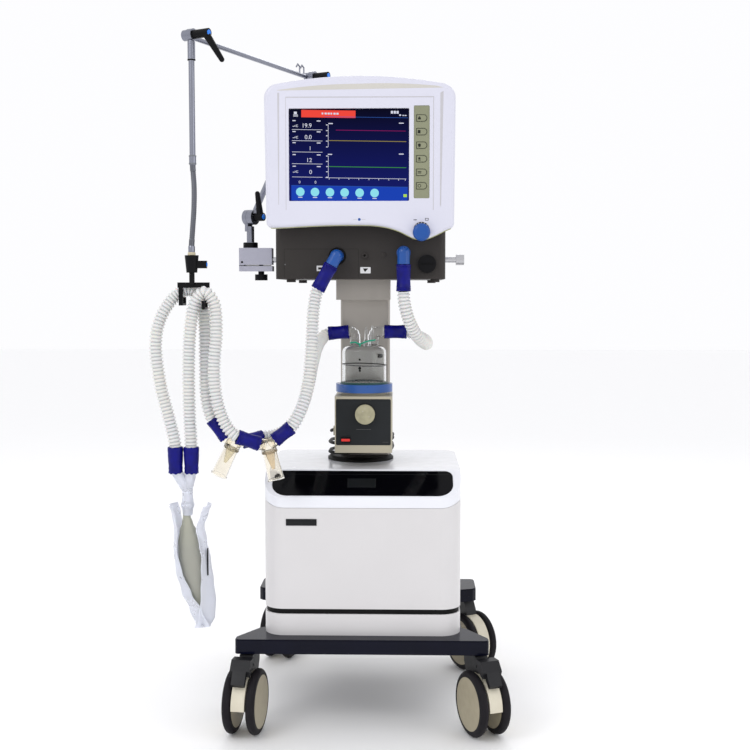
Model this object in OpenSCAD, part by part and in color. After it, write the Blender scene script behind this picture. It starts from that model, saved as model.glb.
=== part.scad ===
// Mechanical ventilator on a wheeled compressor cart, with a heated humidifier on the column,
// a jointed hose arm, a breathing circuit with two water traps, and a test lung.
// Millimetres. Origin on the floor under the middle of the cart, +Z up, the screen faces -Y.

/* [Cart] */
// Width of the chassis across its ears
chassis_w = 486; // [474:1:492]
// Depth of the chassis, front edge to rear edge
chassis_d = 475; // [468:1:480]
// Thickness of the chassis plate
chassis_t = 28; // [24:1:30]
// Diameter of each caster wheel
wheel_d = 125; // [121:1:125]
// Distance from a caster's swivel axis to its axle
trail = 38; // [36:1:39]

/* [Cabinet] */
// Width of the compressor cabinet
cabinet_w = 382; // [376:1:384]
// Depth of the compressor cabinet
cabinet_d = 345; // [340:1:350]
// Height of the cabinet above the chassis
cabinet_h = 315; // [313:1:317]
// Radius of the cabinet's upright corners
cabinet_r = 40; // [34:1:44]
// Width of the glossy panel on the cabinet's slope
panel_w = 351; // [330:1:352]

/* [Column] */
// Width of the column
column_w = 102; // [96:1:102]
// Depth of the column
column_d = 44; // [40:1:44]
// Diameter of the column's foot disc
foot_d = 137; // [130:1:138]

/* [Head unit] */
// Width of the pneumatic case
case_w = 329; // [326:1:330]
// Depth of the pneumatic case
case_d = 300; // [290:1:304]
// Width of the display
display_w = 360; // [356:1:362]
// Width of the visible screen
screen_w = 224; // [220:1:226]
// Height of the visible screen
screen_h = 170; // [166:1:171]
// Diameter of the control knob
knob_d = 33; // [28:1:34]

/* [Humidifier] */
// Width of the humidifier's heater case
heater_w = 114; // [110:1:116]
// Diameter of the water chamber
chamber_d = 89; // [84:1:90]

/* [Hose arm] */
// Turn of the arm's upright plane from straight back towards the right, in degrees
arm_turn = 28.5; // [27:0.5:29.5]
// Diameter of the lower arm tube
lower_tube_d = 12; // [11:0.5:13]
// Diameter of the upper arm tube
upper_tube_d = 9; // [8:0.5:10]

/* [Breathing circuit] */
// Outer diameter of the corrugated hose
hose_d = 25; // [24:0.5:25]
// Outer diameter of the rubber cuffs
cuff_d = 28.5; // [27:0.5:28.5]
// Diameter of the humidifier's supply lead
lead_d = 7; // [6:0.5:7]

/* [Hidden] */

$fn = 64;
// Facet count for the balls and rounds that go inside a hull
hull_fn = 28;
// Radial running clearance of a pin in its bore
run = 0.05;

// Heights of the cart
chassis_top = 183;
chassis_base = chassis_top - chassis_t;
cabinet_top_z = chassis_top + cabinet_h;
// Centre of the cabinet in depth, and its front and rear faces
cabinet_y = -32.5;
cabinet_front = cabinet_y - cabinet_d / 2;
cabinet_rear = cabinet_y + cabinet_d / 2;
wall = 4;

// Casters: swivel positions, and the direction each one trails in, counterclockwise from +X
stem_x = 218;
stem_x_rear = 213;
stem_y_front = -195;
stem_y_rear = 197;
stem_r = 8;
stem_len = 24;
CASTERS = [
    [-stem_x, stem_y_front, 262],
    [stem_x, stem_y_front, 292],
    [-stem_x_rear, stem_y_rear, 75],
    [stem_x_rear, stem_y_rear, 300]
];
wheel_r = wheel_d / 2;
tyre_w = 17;
housing_w = 26;
wheel_gap = 14.5;
axle_r = 5;
pedal_pivot = [50, 138];
pedal_pin_r = 3;

// Cabinet seams, slope and panel
skirt_h = 42;
band_h = 10;
shell_z = chassis_top + skirt_h + band_h;
seam_z = 432;
seam_rise = 14;
seam_gap = 0.6;
slope_low = [cabinet_front + 2, 453];
slope_high = [cabinet_front + 61, cabinet_top_z];
slope_angle = atan2(slope_high[1] - slope_low[1], slope_high[0] - slope_low[0]);
panel_h = 66;
panel_t = 3;

// Column
foot_x = -10;
foot_y = 12;
foot_h = 9;
column_front = 0;
bracket_z = 830;
bracket_front = -55;

// Pneumatic case
case_x = -4.5;
case_z = 871;
case_h = 129;
case_front = -155;
case_rear = case_front + case_d;
case_top = case_z + case_h;
rod_y = -85;
rod_z = 910;
rod_r = 6;
left_port = [-49, case_front, 915];
right_port = [79, case_front, 921];
port_drop = [-0.49, 0, -0.872];
port_reach = 30;
oxygen_pos = [124, case_front, 900];
gas_inlet_x = [-105, -60];
gas_inlet_z = 930;
gas_inlet_r = 7;
gas_inlet_len = 20;

// Display
display_x = -4;
display_front = -205;
bezel_d = 27;
bezel_back = display_front + bezel_d;
display_low = 971;
display_high = 1250;
screen_x = -24;
screen_z = 1103;
face_t = 5;
key_x = 112.5;
key_z_top = 1170.5;
key_pitch = 25.1;
key_size = [20, 13];
knob_pos = [112.5, 958];
knob_shaft_r = 4;

// Humidifier
heater_z = 528;
heater_top = 640;
heater_front = -125;
chamber_y = -66;
chamber_base = 656;
chamber_top = 740;
outlet_z = 766;
outlet_x = 18;
dial_x = 3.5;

// Arm: joint centres in the arm's own plane, measured from the lower joint
lower_joint = [-226, rod_y, 994];
middle_reach = 222;
middle_rise = 309;
top_reach = middle_reach - 408;
top_rise = 321;
lower_pin_r = 4;
upper_pin_r = 3;
joint_r = 15;
elbow_r = 11;
top_joint = lower_joint + [top_reach * sin(arm_turn), top_reach * cos(arm_turn), top_rise];
// Each joint has an inner disc on one side of the arm's plane and an outer disc on the other
inner_disc = [0.8, 10.4];
outer_disc = [-12, 0.4];
lower_tube_side = -5.8;
upper_tube_side = 5.5;
drop_side = -5.3;
pin_end = -25;
drop_x = top_joint[0] - drop_side * cos(arm_turn);
drop_y = top_joint[1] + drop_side * sin(arm_turn);

// Breathing circuit: cuffs as pairs of end points
cuff_r = cuff_d / 2;
port_cuff_start = left_port + [0, -port_reach, 0] + 20 * port_drop;
port_cuff_end = left_port + [0, -port_reach, 0] + 74 * port_drop;
supply_cuff_start = right_port + [0, -port_reach, -22];
supply_cuff_end = right_port + [0, -port_reach, -74];
wet_cuff_start = [outlet_x + 22, chamber_y, outlet_z];
wet_cuff_end = [86, chamber_y, outlet_z];
dry_outlet_end = [-outlet_x - 11, chamber_y, outlet_z];
dry_cuff_start = dry_outlet_end - [1.5, 0, 0];
dry_cuff_end = [-73, chamber_y, outlet_z - 3.5];
trap_1_top = [-240, -236, 563];
trap_1_low = [-270, -236, 500];
trap_2_top = [-175, -246, 559];
trap_2_low = [-160, -246, 494];
cuff_limb_left = [[-281, -238, 608], [-254, -236, 571]];
cuff_limb_right = [[-231, -262, 577], [-190, -249, 562]];
cuff_wet = [[-188, -213, 570], [-226, -231, 564]];
cuff_port = [[-131, -243, 593], [-163, -246, 568]];
wye_x = [-350, -320];
wye_y = -245;
wye_top = 555;
wye_low = 506;
lung_top = [-328, wye_y, 446];

// Hose routes, from one cuff's face to the next
PORT_ROUTE = [
    port_cuff_end, [-93, -190, 812], [-95, -198, 770], [-97, -209, 720],
    [-102, -220, 670], [-112, -232, 630], cuff_port[0]
];
SUPPLY_ROUTE = [
    supply_cuff_end, [82, -180, 818], [92, -168, 786], [108, -146, 758],
    [124, -112, 744], [120, -80, 752], wet_cuff_end
];
WET_ROUTE = [
    dry_cuff_end, [-87, -82, 749], [-94, -115, 732], [-99, -155, 702],
    [-105, -188, 661], [-117, -203, 622], [-136, -211, 592], [-162, -212, 575], cuff_wet[0]
];
LEFT_LIMB_ROUTE = [
    [wye_x[0], wye_y, wye_top], [-362, -245, 612], [-377, -245, 675], [-385, -243, 745],
    [-377, -238, 795], [-352, -231, 836], [-322, -229, 850], [-301, -228, 830],
    [-295, -229, 785], [-294, -231, 715], [-292, -235, 650], cuff_limb_left[0]
];
RIGHT_LIMB_ROUTE = [
    [wye_x[1], wye_y, wye_top], [-322, -248, 620], [-322, -252, 700], [-318, -256, 770],
    [-308, -259, 824], [-289, -260, 845], [-271, -260, 822], [-268, -260, 770],
    [-273, -260, 705], [-269, -261, 650], [-254, -262, 604], cuff_limb_right[0]
];

// Supply lead: from the heater's rear gland, round the column, into the outlet box
winding_centre = [-8.5, 18];
winding_half = [64.5, 66];
winding_top = 553;
winding_pitch = 20;
winding_start = 165;
winding_step = 27;
winding_count = 28;
outlet_face = [5, 91, 511];
// Each turn is a rounded square, to clear the column's corners
function winding_point(i) =
    let (a = winding_start - i * winding_step, r = pow(pow(cos(a), 4) + pow(sin(a), 4), -0.25))
    [winding_centre[0] + winding_half[0] * r * cos(a), winding_centre[1] + winding_half[1] * r * sin(a),
     winding_top - winding_pitch * i * winding_step / 360];
LEAD_ROUTE = concat(
    [[-60.5, -4, 560], [-63, 10, 559]],
    [for (i = [0 : winding_count]) winding_point(i)],
    [[-14, 86, 511], outlet_face]
);

// ---------- helpers ----------

module rounded_rect(w, h, r) {
    square([w - 2 * r, h], center = true);
    square([w, h - 2 * r], center = true);
    for (sx = [-1, 1], sy = [-1, 1])
        translate([sx * (w / 2 - r), sy * (h / 2 - r)]) circle(r);
}

// Extrudes a front-view outline (x, z) from y_back towards -Y
module facing(y_back, depth) {
    translate([0, y_back, 0]) rotate([90, 0, 0]) linear_extrude(depth) children();
}

// Extrudes a side-view outline (y, z) across the width w, centred on x = 0
module across(w) {
    translate([-w / 2, 0, 0]) rotate([90, 0, 90]) linear_extrude(w) children();
}

// A cylinder along Y from y0 to y1, at x and z
module stub_y(x, z, y0, y1, r) {
    translate([x, y0, z]) rotate([-90, 0, 0]) cylinder(r = r, h = y1 - y0);
}

// A cylinder from point a to point b
module bar(a, b, r1, r2) {
    v = b - a;
    translate(a)
        rotate([0, acos(v[2] / norm(v)), atan2(v[1], v[0])])
            cylinder(r1 = r1, r2 = r2, h = norm(v));
}

function unit(v) = v / norm(v);

// Direction of a route at point i: along the chords on both sides of it
function heading(route, i, first, last) =
    i == 0 ? unit(first)
    : i == len(route) - 1 ? unit(last)
    : unit(unit(route[i] - route[i - 1]) + unit(route[i + 1] - route[i]));

function tube_ring(centre, along, up, r, sides) =
    let (across_dir = unit(cross(up, along)), third = cross(along, across_dir))
    [for (k = [0 : sides - 1])
        centre + r * (cos(360 * k / sides) * across_dir + sin(360 * k / sides) * third)];

// A plain tube swept along a route; first and last are the directions at its two ends
module swept_tube(route, d, first, last, up = [0, 1, 0], sides = 8) {
    rings = len(route);
    points = [for (i = [0 : rings - 1])
        each tube_ring(route[i], heading(route, i, first, last), up, d / 2, sides)];
    side_faces = [for (i = [0 : rings - 2], k = [0 : sides - 1])
        let (a = i * sides + k, b = i * sides + (k + 1) % sides)
        each [[a, a + sides, b], [b, a + sides, b + sides]]];
    start_face = [[for (k = [0 : sides - 1]) k]];
    end_face = [[for (k = [sides - 1 : -1 : 0]) (rings - 1) * sides + k]];
    polyhedron(points, concat(side_faces, start_face, end_face), convexity = 6);
}

// ---------- cart ----------

module chassis_outline(inset) {
    half = chassis_w / 2;
    front = -235;
    rear = front + chassis_d;
    side = cabinet_w / 2 + 4;
    right = [
        [half, front], [half, front + 20], [half - 39, front + 82], [side, front + 87],
        [side, rear - 102], [half - 8, rear - 90], [half, rear - 80], [half, rear]
    ];
    left = [for (i = [len(right) - 1 : -1 : 0]) [-right[i][0], right[i][1]]];
    offset(r = 8) offset(delta = -8 - inset) polygon(concat(right, left));
}

module chassis() {
    edge = 2;
    color("#15161c")
        difference() {
            union() {
                translate([0, 0, chassis_base]) linear_extrude(chassis_t - edge) chassis_outline(0);
                translate([0, 0, chassis_top - edge]) linear_extrude(edge) chassis_outline(1.5);
            }
            for (c = CASTERS)
                translate([c[0], c[1], chassis_base - 1]) cylinder(r = stem_r + run, h = stem_len + 2);
        }
}

module at_caster(i) {
    translate([CASTERS[i][0], CASTERS[i][1], 0]) rotate([0, 0, CASTERS[i][2]]) children();
}

// Side outline of the housing between the two wheels; drop is how far it reaches below the axle
module fender_outline(drop) {
    fender_r = 58;
    difference() {
        circle(fender_r);
        polygon([[-70, -34], [70, drop], [70, -70], [-70, -70]]);
    }
    circle(18);
}

module caster_fork(i, braked) {
    head_top = chassis_base - 1;
    color("#3a3b40")
        at_caster(i)
            difference() {
                union() {
                    rotate([90, 0, 0]) linear_extrude(housing_w, center = true) {
                        translate([trail, wheel_r]) fender_outline(braked ? 2 : -30);
                        polygon([[-21, 150], [-20, 128], [0, 92], [46, 104], [40, 130], [30, 150]]);
                    }
                    translate([0, 0, 148]) cylinder(r = 22, h = head_top - 148);
                    translate([0, 0, head_top - 1]) cylinder(r = stem_r, h = stem_len);
                    if (braked) {
                        rotate([90, 0, 0]) linear_extrude(14, center = true) {
                            polygon([[20, 146], [50, 146], [50, 130], [20, 124]]);
                            translate(pedal_pivot) circle(8);
                        }
                        translate([pedal_pivot[0], 0, pedal_pivot[1]]) rotate([90, 0, 0])
                            cylinder(r = pedal_pin_r, h = 36, center = true);
                    }
                }
                translate([trail, 0, wheel_r]) rotate([90, 0, 0])
                    cylinder(r = axle_r + run, h = housing_w + 2, center = true);
            }
}

module caster_wheels(i) {
    color("#b9ab8c")
        at_caster(i) translate([trail, 0, wheel_r]) rotate([90, 0, 0]) {
            for (side = [0, 1]) mirror([0, 0, side]) translate([0, 0, wheel_gap])
                rotate_extrude() {
                    square([wheel_r - tyre_w / 2, tyre_w]);
                    translate([wheel_r - tyre_w / 2, tyre_w / 2])
                        intersection() {
                            circle(tyre_w / 2);
                            translate([0, -tyre_w / 2]) square([tyre_w, tyre_w]);
                        }
                }
            cylinder(r = axle_r, h = 2 * wheel_gap + 2, center = true);
        }
}

module brake_pedal(i) {
    upper_w = 38;
    tongue_w = 26;
    slot_w = 15;
    color("#2e2f34")
        at_caster(i)
            difference() {
                rotate([90, 0, 0]) {
                    linear_extrude(upper_w, center = true) {
                        polygon([[44, 132], [46, 151], [66, 151], [80, 134], [74, 121], [62, 127]]);
                        translate(pedal_pivot) circle(7.5);
                    }
                    linear_extrude(tongue_w, center = true)
                        polygon([[66, 132], [80, 134], [94, 112], [89, 106], [70, 126]]);
                }
                translate([pedal_pivot[0], 0, pedal_pivot[1]]) rotate([90, 0, 0]) {
                    cylinder(r = 9, h = slot_w, center = true);
                    cylinder(r = pedal_pin_r + run, h = 60, center = true);
                }
                translate([20, -slot_w / 2, 120]) cube([30, slot_w, 50]);
            }
}

// ---------- cabinet ----------

module cabinet_block(z0, z1, inset) {
    translate([0, cabinet_y, z0]) linear_extrude(z1 - z0)
        rounded_rect(cabinet_w - 2 * inset, cabinet_d - 2 * inset, cabinet_r - inset);
}

module cabinet_base() {
    color("#e6e4e6")
        difference() {
            cabinet_block(chassis_top, chassis_top + skirt_h, 0);
            cabinet_block(chassis_top + wall, chassis_top + skirt_h + 1, wall);
        }
}

module groove_band() {
    z = chassis_top + skirt_h;
    color("#0b0b0d")
        difference() {
            cabinet_block(z, z + band_h, 3);
            cabinet_block(z - 1, z + band_h + 1, 9);
        }
}

// Front-view region above the seam, which sweeps up towards the corners
module above_seam(z) {
    flat = cabinet_w / 2 - cabinet_r;
    curve = [for (k = [0 : 6]) let (f = k / 6) [flat + (cabinet_r + 1) * f, z + seam_rise * f * f]];
    polygon(concat(
        curve, [[cabinet_w / 2 + 1, 600], [-cabinet_w / 2 - 1, 600]],
        [for (k = [6 : -1 : 0]) [-curve[k][0], curve[k][1]]]
    ));
}

module cabinet_shell() {
    vent_count = 8;
    color("#e9e7e9")
        difference() {
            cabinet_block(shell_z, seam_z + seam_rise + 2, 0);
            cabinet_block(shell_z - 1, seam_z + seam_rise + 3, wall);
            facing(cabinet_rear + 1, cabinet_d + 2) above_seam(seam_z);
            for (k = [0 : vent_count - 1])
                translate([-90, cabinet_rear - wall - 1, 290 + 12 * k]) cube([180, wall + 2, 5]);
        }
}

// Side outline of the top cover: upright front, slope for the panel, flat top
module cover_side(inset) {
    polygon([
        [cabinet_front + inset, 400], [cabinet_front + inset, slope_low[1] - 12 - inset],
        [cabinet_front + inset + 0.6, slope_low[1] - 5 - inset],
        [slope_low[0] + inset, slope_low[1] - inset],
        [slope_high[0] + 1, slope_high[1] - inset - 0.8], [slope_high[0] + 6, slope_high[1] - inset],
        [cabinet_rear - 6 - inset, cabinet_top_z - inset], [cabinet_rear - inset, cabinet_top_z - 6 - inset],
        [cabinet_rear - inset, 400]
    ]);
}

module panel_outline(grow) {
    top_r = 15 + grow;
    low_r = 30 + grow;
    w = panel_w / 2 + grow;
    h = panel_h / 2 + grow;
    hull()
        for (s = [-1, 1]) {
            translate([s * (w - top_r), h - top_r]) circle(top_r);
            translate([s * (w - low_r), low_r - h]) circle(low_r);
        }
}

module on_slope() {
    mid = (slope_low + slope_high) / 2;
    translate([0, mid[0], mid[1]]) rotate([slope_angle, 0, 0]) children();
}

module cabinet_top() {
    color("#f1f0f2")
        difference() {
            intersection() {
                cabinet_block(seam_z, cabinet_top_z, 0);
                across(cabinet_w) cover_side(0);
                facing(cabinet_rear + 1, cabinet_d + 2) above_seam(seam_z + seam_gap);
            }
            intersection() {
                cabinet_block(seam_z - 1, cabinet_top_z - wall, wall);
                across(cabinet_w) cover_side(wall + 2);
            }
            on_slope() translate([0, 0, -panel_t]) linear_extrude(panel_t + 10) panel_outline(0.3);
        }
}

module top_panel() {
    color("#08080b")
        on_slope() translate([0, 0, -panel_t + 0.1]) linear_extrude(panel_t) panel_outline(0);
}

module air_compressor() {
    floor_z = chassis_top + wall;
    tank_r = 52;
    color("#6d7277") {
        translate([-140, -170, floor_z]) cube([280, 250, 6]);
        translate([-120, 20, floor_z + 62]) rotate([0, 90, 0]) cylinder(r = tank_r, h = 240);
        for (x = [-80, 70]) translate([x, -5, floor_z + 5]) cube([12, 50, 20]);
        translate([-110, -160, floor_z + 5]) cube([120, 100, 90]);
        translate([0, -110, floor_z + 60]) rotate([0, 90, 0]) cylinder(r = 40, h = 110);
        for (x = [-85, -25]) translate([x, -110, floor_z + 90]) cylinder(r = 24, h = 50);
    }
}

// ---------- column ----------

module column_foot() {
    color("#0d0e12") {
        translate([foot_x, foot_y, cabinet_top_z])
            rotate_extrude() polygon([[0, 0], [foot_d / 2, 0], [foot_d / 2, 4], [foot_d / 2 - 6, foot_h], [0, foot_h]]);
        difference() {
            translate([outlet_face[0], outlet_face[1] - 10, cabinet_top_z]) cube([30, 22, 24]);
            translate([outlet_face[0] - 1, outlet_face[1], outlet_face[2]]) rotate([0, 90, 0])
                cylinder(r = 2, h = 9);
        }
    }
}

module column() {
    top = case_z;
    color("#8d8a80")
        difference() {
            union() {
                translate([0, column_front + column_d / 2, cabinet_top_z + foot_h])
                    linear_extrude(top - cabinet_top_z - foot_h) rounded_rect(column_w, column_d, 5);
                translate([-57, bracket_front, bracket_z]) cube([109, 125, top - bracket_z]);
            }
            translate([0, column_front + column_d / 2, cabinet_top_z + foot_h + 6])
                linear_extrude(bracket_z - cabinet_top_z - foot_h - 12)
                    rounded_rect(column_w - 6, column_d - 6, 3);
        }
}

// ---------- pneumatic case ----------

module main_case() {
    y_mid = (case_front + case_rear) / 2;
    front_wall = 9;
    color("#4a4848") {
        difference() {
            union() {
                translate([case_x, y_mid, case_z]) linear_extrude(case_h) rounded_rect(case_w, case_d, 12);
                for (x = [-140, 140], y = [case_front + 17, case_rear - 17])
                    translate([x, y, case_z - 6]) cylinder(r = 9, h = 7);
                stub_y(4, 916, case_front - 7, case_front + 1, 5);
                for (x = gas_inlet_x)
                    stub_y(x, gas_inlet_z, case_rear - 1, case_rear + gas_inlet_len, gas_inlet_r);
                translate([40, case_rear - 1, 885]) cube([60, 6, 40]);
            }
            translate([case_x, y_mid + (front_wall - 3) / 2, case_z + 3])
                linear_extrude(case_h - 6) rounded_rect(case_w - 6, case_d - front_wall - 3, 9);
            stub_y(left_port[0], left_port[2], case_front - 1, case_front + 6, 17);
            stub_y(oxygen_pos[0], oxygen_pos[2], case_front - 1, case_front + 6, 5 + run);
            stub_y(4, 916, case_front - 8, case_front + 1, 2.5);
            translate([52, case_rear - 2, 892]) cube([36, 8, 26]);
            for (k = [0 : 6])
                translate([30, case_rear - 5, 940 + 7 * k]) cube([90, 10, 3]);
        }
    }
}

module gas_module() {
    color("#a9adb2") {
        translate([-120, -60, case_z + 3]) cube([130, 120, 60]);
        for (x = [-95, -55, -15]) translate([x, 0, case_z + 62]) cylinder(r = 14, h = 34);
        translate([50, -20, case_z + 3]) cube([80, 120, 55]);
    }
}

// Two short accessory rods, one on each side of the case; the right one ends in a collar
module side_rods() {
    rod_left = -214;
    rod_right = 184;
    collar_len = 16;
    side = case_w / 2;
    color("#c4c6c9") {
        translate([rod_left, rod_y, rod_z]) rotate([0, 90, 0]) cylinder(r = rod_r, h = case_x - side - rod_left);
        translate([case_x + side, rod_y, rod_z]) rotate([0, 90, 0])
            cylinder(r = rod_r, h = rod_right - side - case_x);
        translate([rod_right - 1, rod_y, rod_z]) rotate([0, 90, 0]) cylinder(r = 11, h = collar_len);
    }
}

module oxygen_cap() {
    color("#2a2a2c")
        difference() {
            union() {
                stub_y(oxygen_pos[0], oxygen_pos[2], case_front - 8, case_front - 0.3, 17.5);
                stub_y(oxygen_pos[0], oxygen_pos[2], case_front - 1, case_front + 5, 5);
            }
            translate([oxygen_pos[0] - 12, case_front - 9, oxygen_pos[2] - 1.5]) cube([24, 3, 3]);
        }
}

// ---------- display ----------

// Low edge of the display, left to right: nearly straight, with a dip under the knob
LOW_EDGE = [
    [-140, 967.5], [-95, 970], [-45, 971.5], [0, 971.5], [26, 970.5], [50, 966.5], [70, 960],
    [88, 951.3], [100, 946.2], [112, 944.3], [124, 946.2], [140, 952.5], [157, 961]
];

// Front outline of the display: arched top, round corners, sides that draw in slightly
module display_outline(inset) {
    left = display_x - display_w / 2;
    right = display_x + display_w / 2;
    arch_r = 880;
    top_r = 27;
    corner_r = 12;
    offset(delta = -inset)
        intersection() {
            offset(r = top_r) offset(delta = -top_r)
                intersection() {
                    translate([display_x, display_high - arch_r]) circle(arch_r, $fn = 720);
                    translate([left, 900]) square([display_w, 400]);
                }
            offset(r = corner_r) offset(delta = -corner_r)
                polygon(concat(
                    [[left, 1290], [left, 1130], [left + 3.5, display_low - 5]], LOW_EDGE,
                    [[right - 2, display_low - 3.5], [right, 1130], [right, 1290]]
                ));
        }
}

module key_shape(grow) {
    w = key_size[0] + 2 * grow;
    h = key_size[1] + 2 * grow;
    translate([-w / 2, -h / 2]) square([w - h / 2, h]);
    translate([w / 2 - h / 2, 0]) circle(h / 2);
}

module key_place(i) {
    translate([key_x, key_z_top - key_pitch * i]) children();
}

module bezel() {
    strip = [29.5, 172];
    color("#e3e5f0")
        difference() {
            union() {
                facing(bezel_back, bezel_d - 5) display_outline(0);
                facing(display_front + 6, 6) display_outline(5);
            }
            facing(bezel_back + 1, bezel_d - face_t + 1) display_outline(wall + 4);
            facing(display_front + face_t + 1, face_t + 2)
                translate([screen_x, screen_z]) square([screen_w + 2, screen_h + 2], center = true);
            facing(display_front + 1.2, 3)
                translate([key_x, key_z_top - 2.5 * key_pitch]) square(strip, center = true);
            for (i = [0 : 5])
                facing(display_front + face_t + 1, face_t + 2) key_place(i) key_shape(0.35);
            stub_y(knob_pos[0], knob_pos[1], display_front - 1, display_front + face_t + 1,
                   knob_shaft_r + run);
        }
}

module display_back() {
    rear = -114;
    color("#d9dbe6") {
        facing(bezel_back + 8, 8) display_outline(wall + 5);
        facing(rear, rear - bezel_back - 7)
            translate([display_x, 1120]) rounded_rect(322, 226, 28);
        translate([-60, rear - 2, case_top]) cube([110, 46, 120]);
    }
}

module lcd_panel() {
    color("#0a0f24")
        facing(display_front + face_t + 9, 8.7)
            translate([screen_x, screen_z]) square([screen_w + 10, screen_h + 12], center = true);
}

module key(i) {
    color("#c3cdc9") {
        facing(display_front + 7, 6.4) key_place(i) key_shape(0);
        facing(display_front + 8, 2.6) key_place(i) key_shape(1.5);
    }
}

module knob() {
    color("#1d3f96") {
        stub_y(knob_pos[0], knob_pos[1], display_front - 18, display_front - 1, knob_d / 2);
        stub_y(knob_pos[0], knob_pos[1], display_front - 2, display_front + 14, knob_shaft_r);
    }
}

// ---------- humidifier ----------

module humidifier_case() {
    low_rear = -54;
    rear = -10;
    step_z = 552;
    color("#a7a297")
        difference() {
            union() {
                translate([0, (heater_front + low_rear) / 2, heater_z])
                    linear_extrude(step_z - heater_z + 1) rounded_rect(heater_w, low_rear - heater_front, 5);
                translate([0, (heater_front + rear) / 2, step_z])
                    linear_extrude(heater_top - step_z) rounded_rect(heater_w, rear - heater_front, 5);
                translate([-30, rear - 1, 584]) cube([60, column_front - rear + 1, 46]);
                translate([0, chamber_y, heater_top - 1]) cylinder(r = 47, h = chamber_base - heater_top + 1);
                translate([-65, rear - 20, 551]) cube([9, 18, 18]);
                stub_y(LEAD_ROUTE[0][0], LEAD_ROUTE[0][2], rear - 3, LEAD_ROUTE[0][1], 4.5);
            }
            facing(heater_front + 1.5, 3) translate([0, 589]) rounded_rect(109, 92, 3);
            stub_y(dial_x, 605, heater_front - 1, heater_front + 9, 4 + run);
            translate([-45, heater_front - 1, 547]) cube([20, 10, 14]);
            translate([-35, heater_front + 4, 554]) rotate([0, 90, 0])
                cylinder(r = 2 + run, h = 24, center = true);
        }
}

module dial() {
    color("#d8d3c6") {
        stub_y(dial_x, 605, heater_front - 8, heater_front + 1.2, 19.5);
        stub_y(dial_x, 605, heater_front + 1, heater_front + 8, 4);
    }
}

module rocker() {
    color("#d0201c") {
        translate([-44.5, heater_front - 1, 547.8]) cube([19, 5, 12.4]);
        translate([-35, heater_front + 4, 554]) rotate([0, 90, 0]) cylinder(r = 2, h = 23, center = true);
    }
}

module chamber_guard() {
    color("#2a49a8")
        translate([0, chamber_y, 646])
            difference() {
                cylinder(r = 57, h = 16);
                translate([0, 0, -1]) cylinder(r = 49, h = 18);
                translate([-60, 20, -1]) cube([120, 60, 18]);
            }
}

module water_chamber() {
    r = chamber_d / 2;
    color("#bfe3df") {
        translate([0, chamber_y, chamber_base])
            rotate_extrude() polygon([
                [0, 0], [r + 2, 0], [r + 2, 6], [r, 8], [r, chamber_top - chamber_base - 14],
                [r - 5, chamber_top - chamber_base - 5], [r - 14, chamber_top - chamber_base], [0, chamber_top - chamber_base]
            ]);
        for (s = [-1, 1]) {
            translate([s * outlet_x, chamber_y, chamber_top - 1])
                cylinder(r = 11, h = outlet_z + 12 - chamber_top);
        }
        bar([outlet_x, chamber_y, outlet_z], wet_cuff_start, 10, 10);
        bar([-outlet_x, chamber_y, outlet_z], dry_outlet_end, 10, 10);
        translate([0, chamber_y, chamber_top - 1]) cylinder(r = 4, h = 22);
    }
}

module humidifier_lead() {
    color("#101012")
        swept_tube(LEAD_ROUTE, lead_d, [0, 1, 0], [1, 0, 0], [0, 0, 1]);
}

// ---------- hose arm ----------

module in_arm() {
    translate(lower_joint) rotate([0, 0, 90 - arm_turn]) children();
}

// A disc of a hinge joint at [reach, rise] in the arm's plane, over a span of its hinge axis
module joint_disc(at, span, r) {
    stub_y(at[0], at[1], span[0], span[1], r);
}

module clamp_block() {
    color("#b9bbc6")
        difference() {
            union() {
                translate([-247, rod_y - 17, 900]) cube([65, 34, 33]);
                translate([-247, rod_y - 17, 887]) cube([66, 34, 10.5]);
                translate([-247, rod_y - 17, 890]) cube([10, 34, 20]);
            }
            translate([-215, rod_y, rod_z]) rotate([0, 90, 0]) cylinder(r = rod_r + run, h = 40);
            translate([lower_joint[0], rod_y, 915]) cylinder(r = 6 + run, h = 30);
            translate([-205, rod_y, 880]) cylinder(r = 4 + run, h = 23.5);
        }
}

module clamp_screw() {
    color("#141416") {
        translate([-205, rod_y, 869]) cylinder(r = 12.5, h = 12);
        translate([-205, rod_y, 880]) cylinder(r = 6, h = 6.7);
        translate([-205, rod_y, 886]) cylinder(r = 4, h = 17);
    }
}

module arm_post() {
    x = lower_joint[0];
    color("#9a9ca3") {
        translate([x, rod_y, 916]) cylinder(r = 6, h = 18);
        translate([x, rod_y, 933.3]) cylinder(r = 14, h = 11);
        translate([x, rod_y, 944]) cylinder(r = 7.5, h = 32);
        in_arm() {
            joint_disc([0, 0], inner_disc, joint_r);
            joint_disc([0, 0], [pin_end, inner_disc[0] + 1], lower_pin_r);
            translate([-8, inner_disc[0], -28]) cube([16, 7, 22]);
        }
    }
}

module lower_tube() {
    angle = atan2(middle_rise, middle_reach);
    length = norm([middle_reach, middle_rise]);
    middle = [middle_reach, middle_rise];
    color("#a4a6ad")
        in_arm() {
            difference() {
                union() {
                    joint_disc([0, 0], outer_disc, joint_r);
                    translate([0, lower_tube_side, 0]) rotate([0, 90 - angle, 0]) translate([0, 0, 8])
                        cylinder(d = lower_tube_d, h = length - 16);
                    joint_disc(middle, outer_disc, elbow_r + 1);
                }
                joint_disc([0, 0], outer_disc + [-1, 1], lower_pin_r + run);
            }
            joint_disc(middle, [pin_end, inner_disc[1] - 0.6], upper_pin_r);
        }
}

// An open hook of bent rod that stands on the upper tube
module hose_hook() {
    corners = [[0, 0, 0], [0, 0, 18], [-7, 0, 22], [-12, 0, 16]];
    rod = 1.6;
    for (i = [0 : 2]) bar(corners[i], corners[i + 1], rod, rod);
    for (i = [1 : 3]) translate(corners[i]) sphere(r = rod + 0.15);
}

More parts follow.
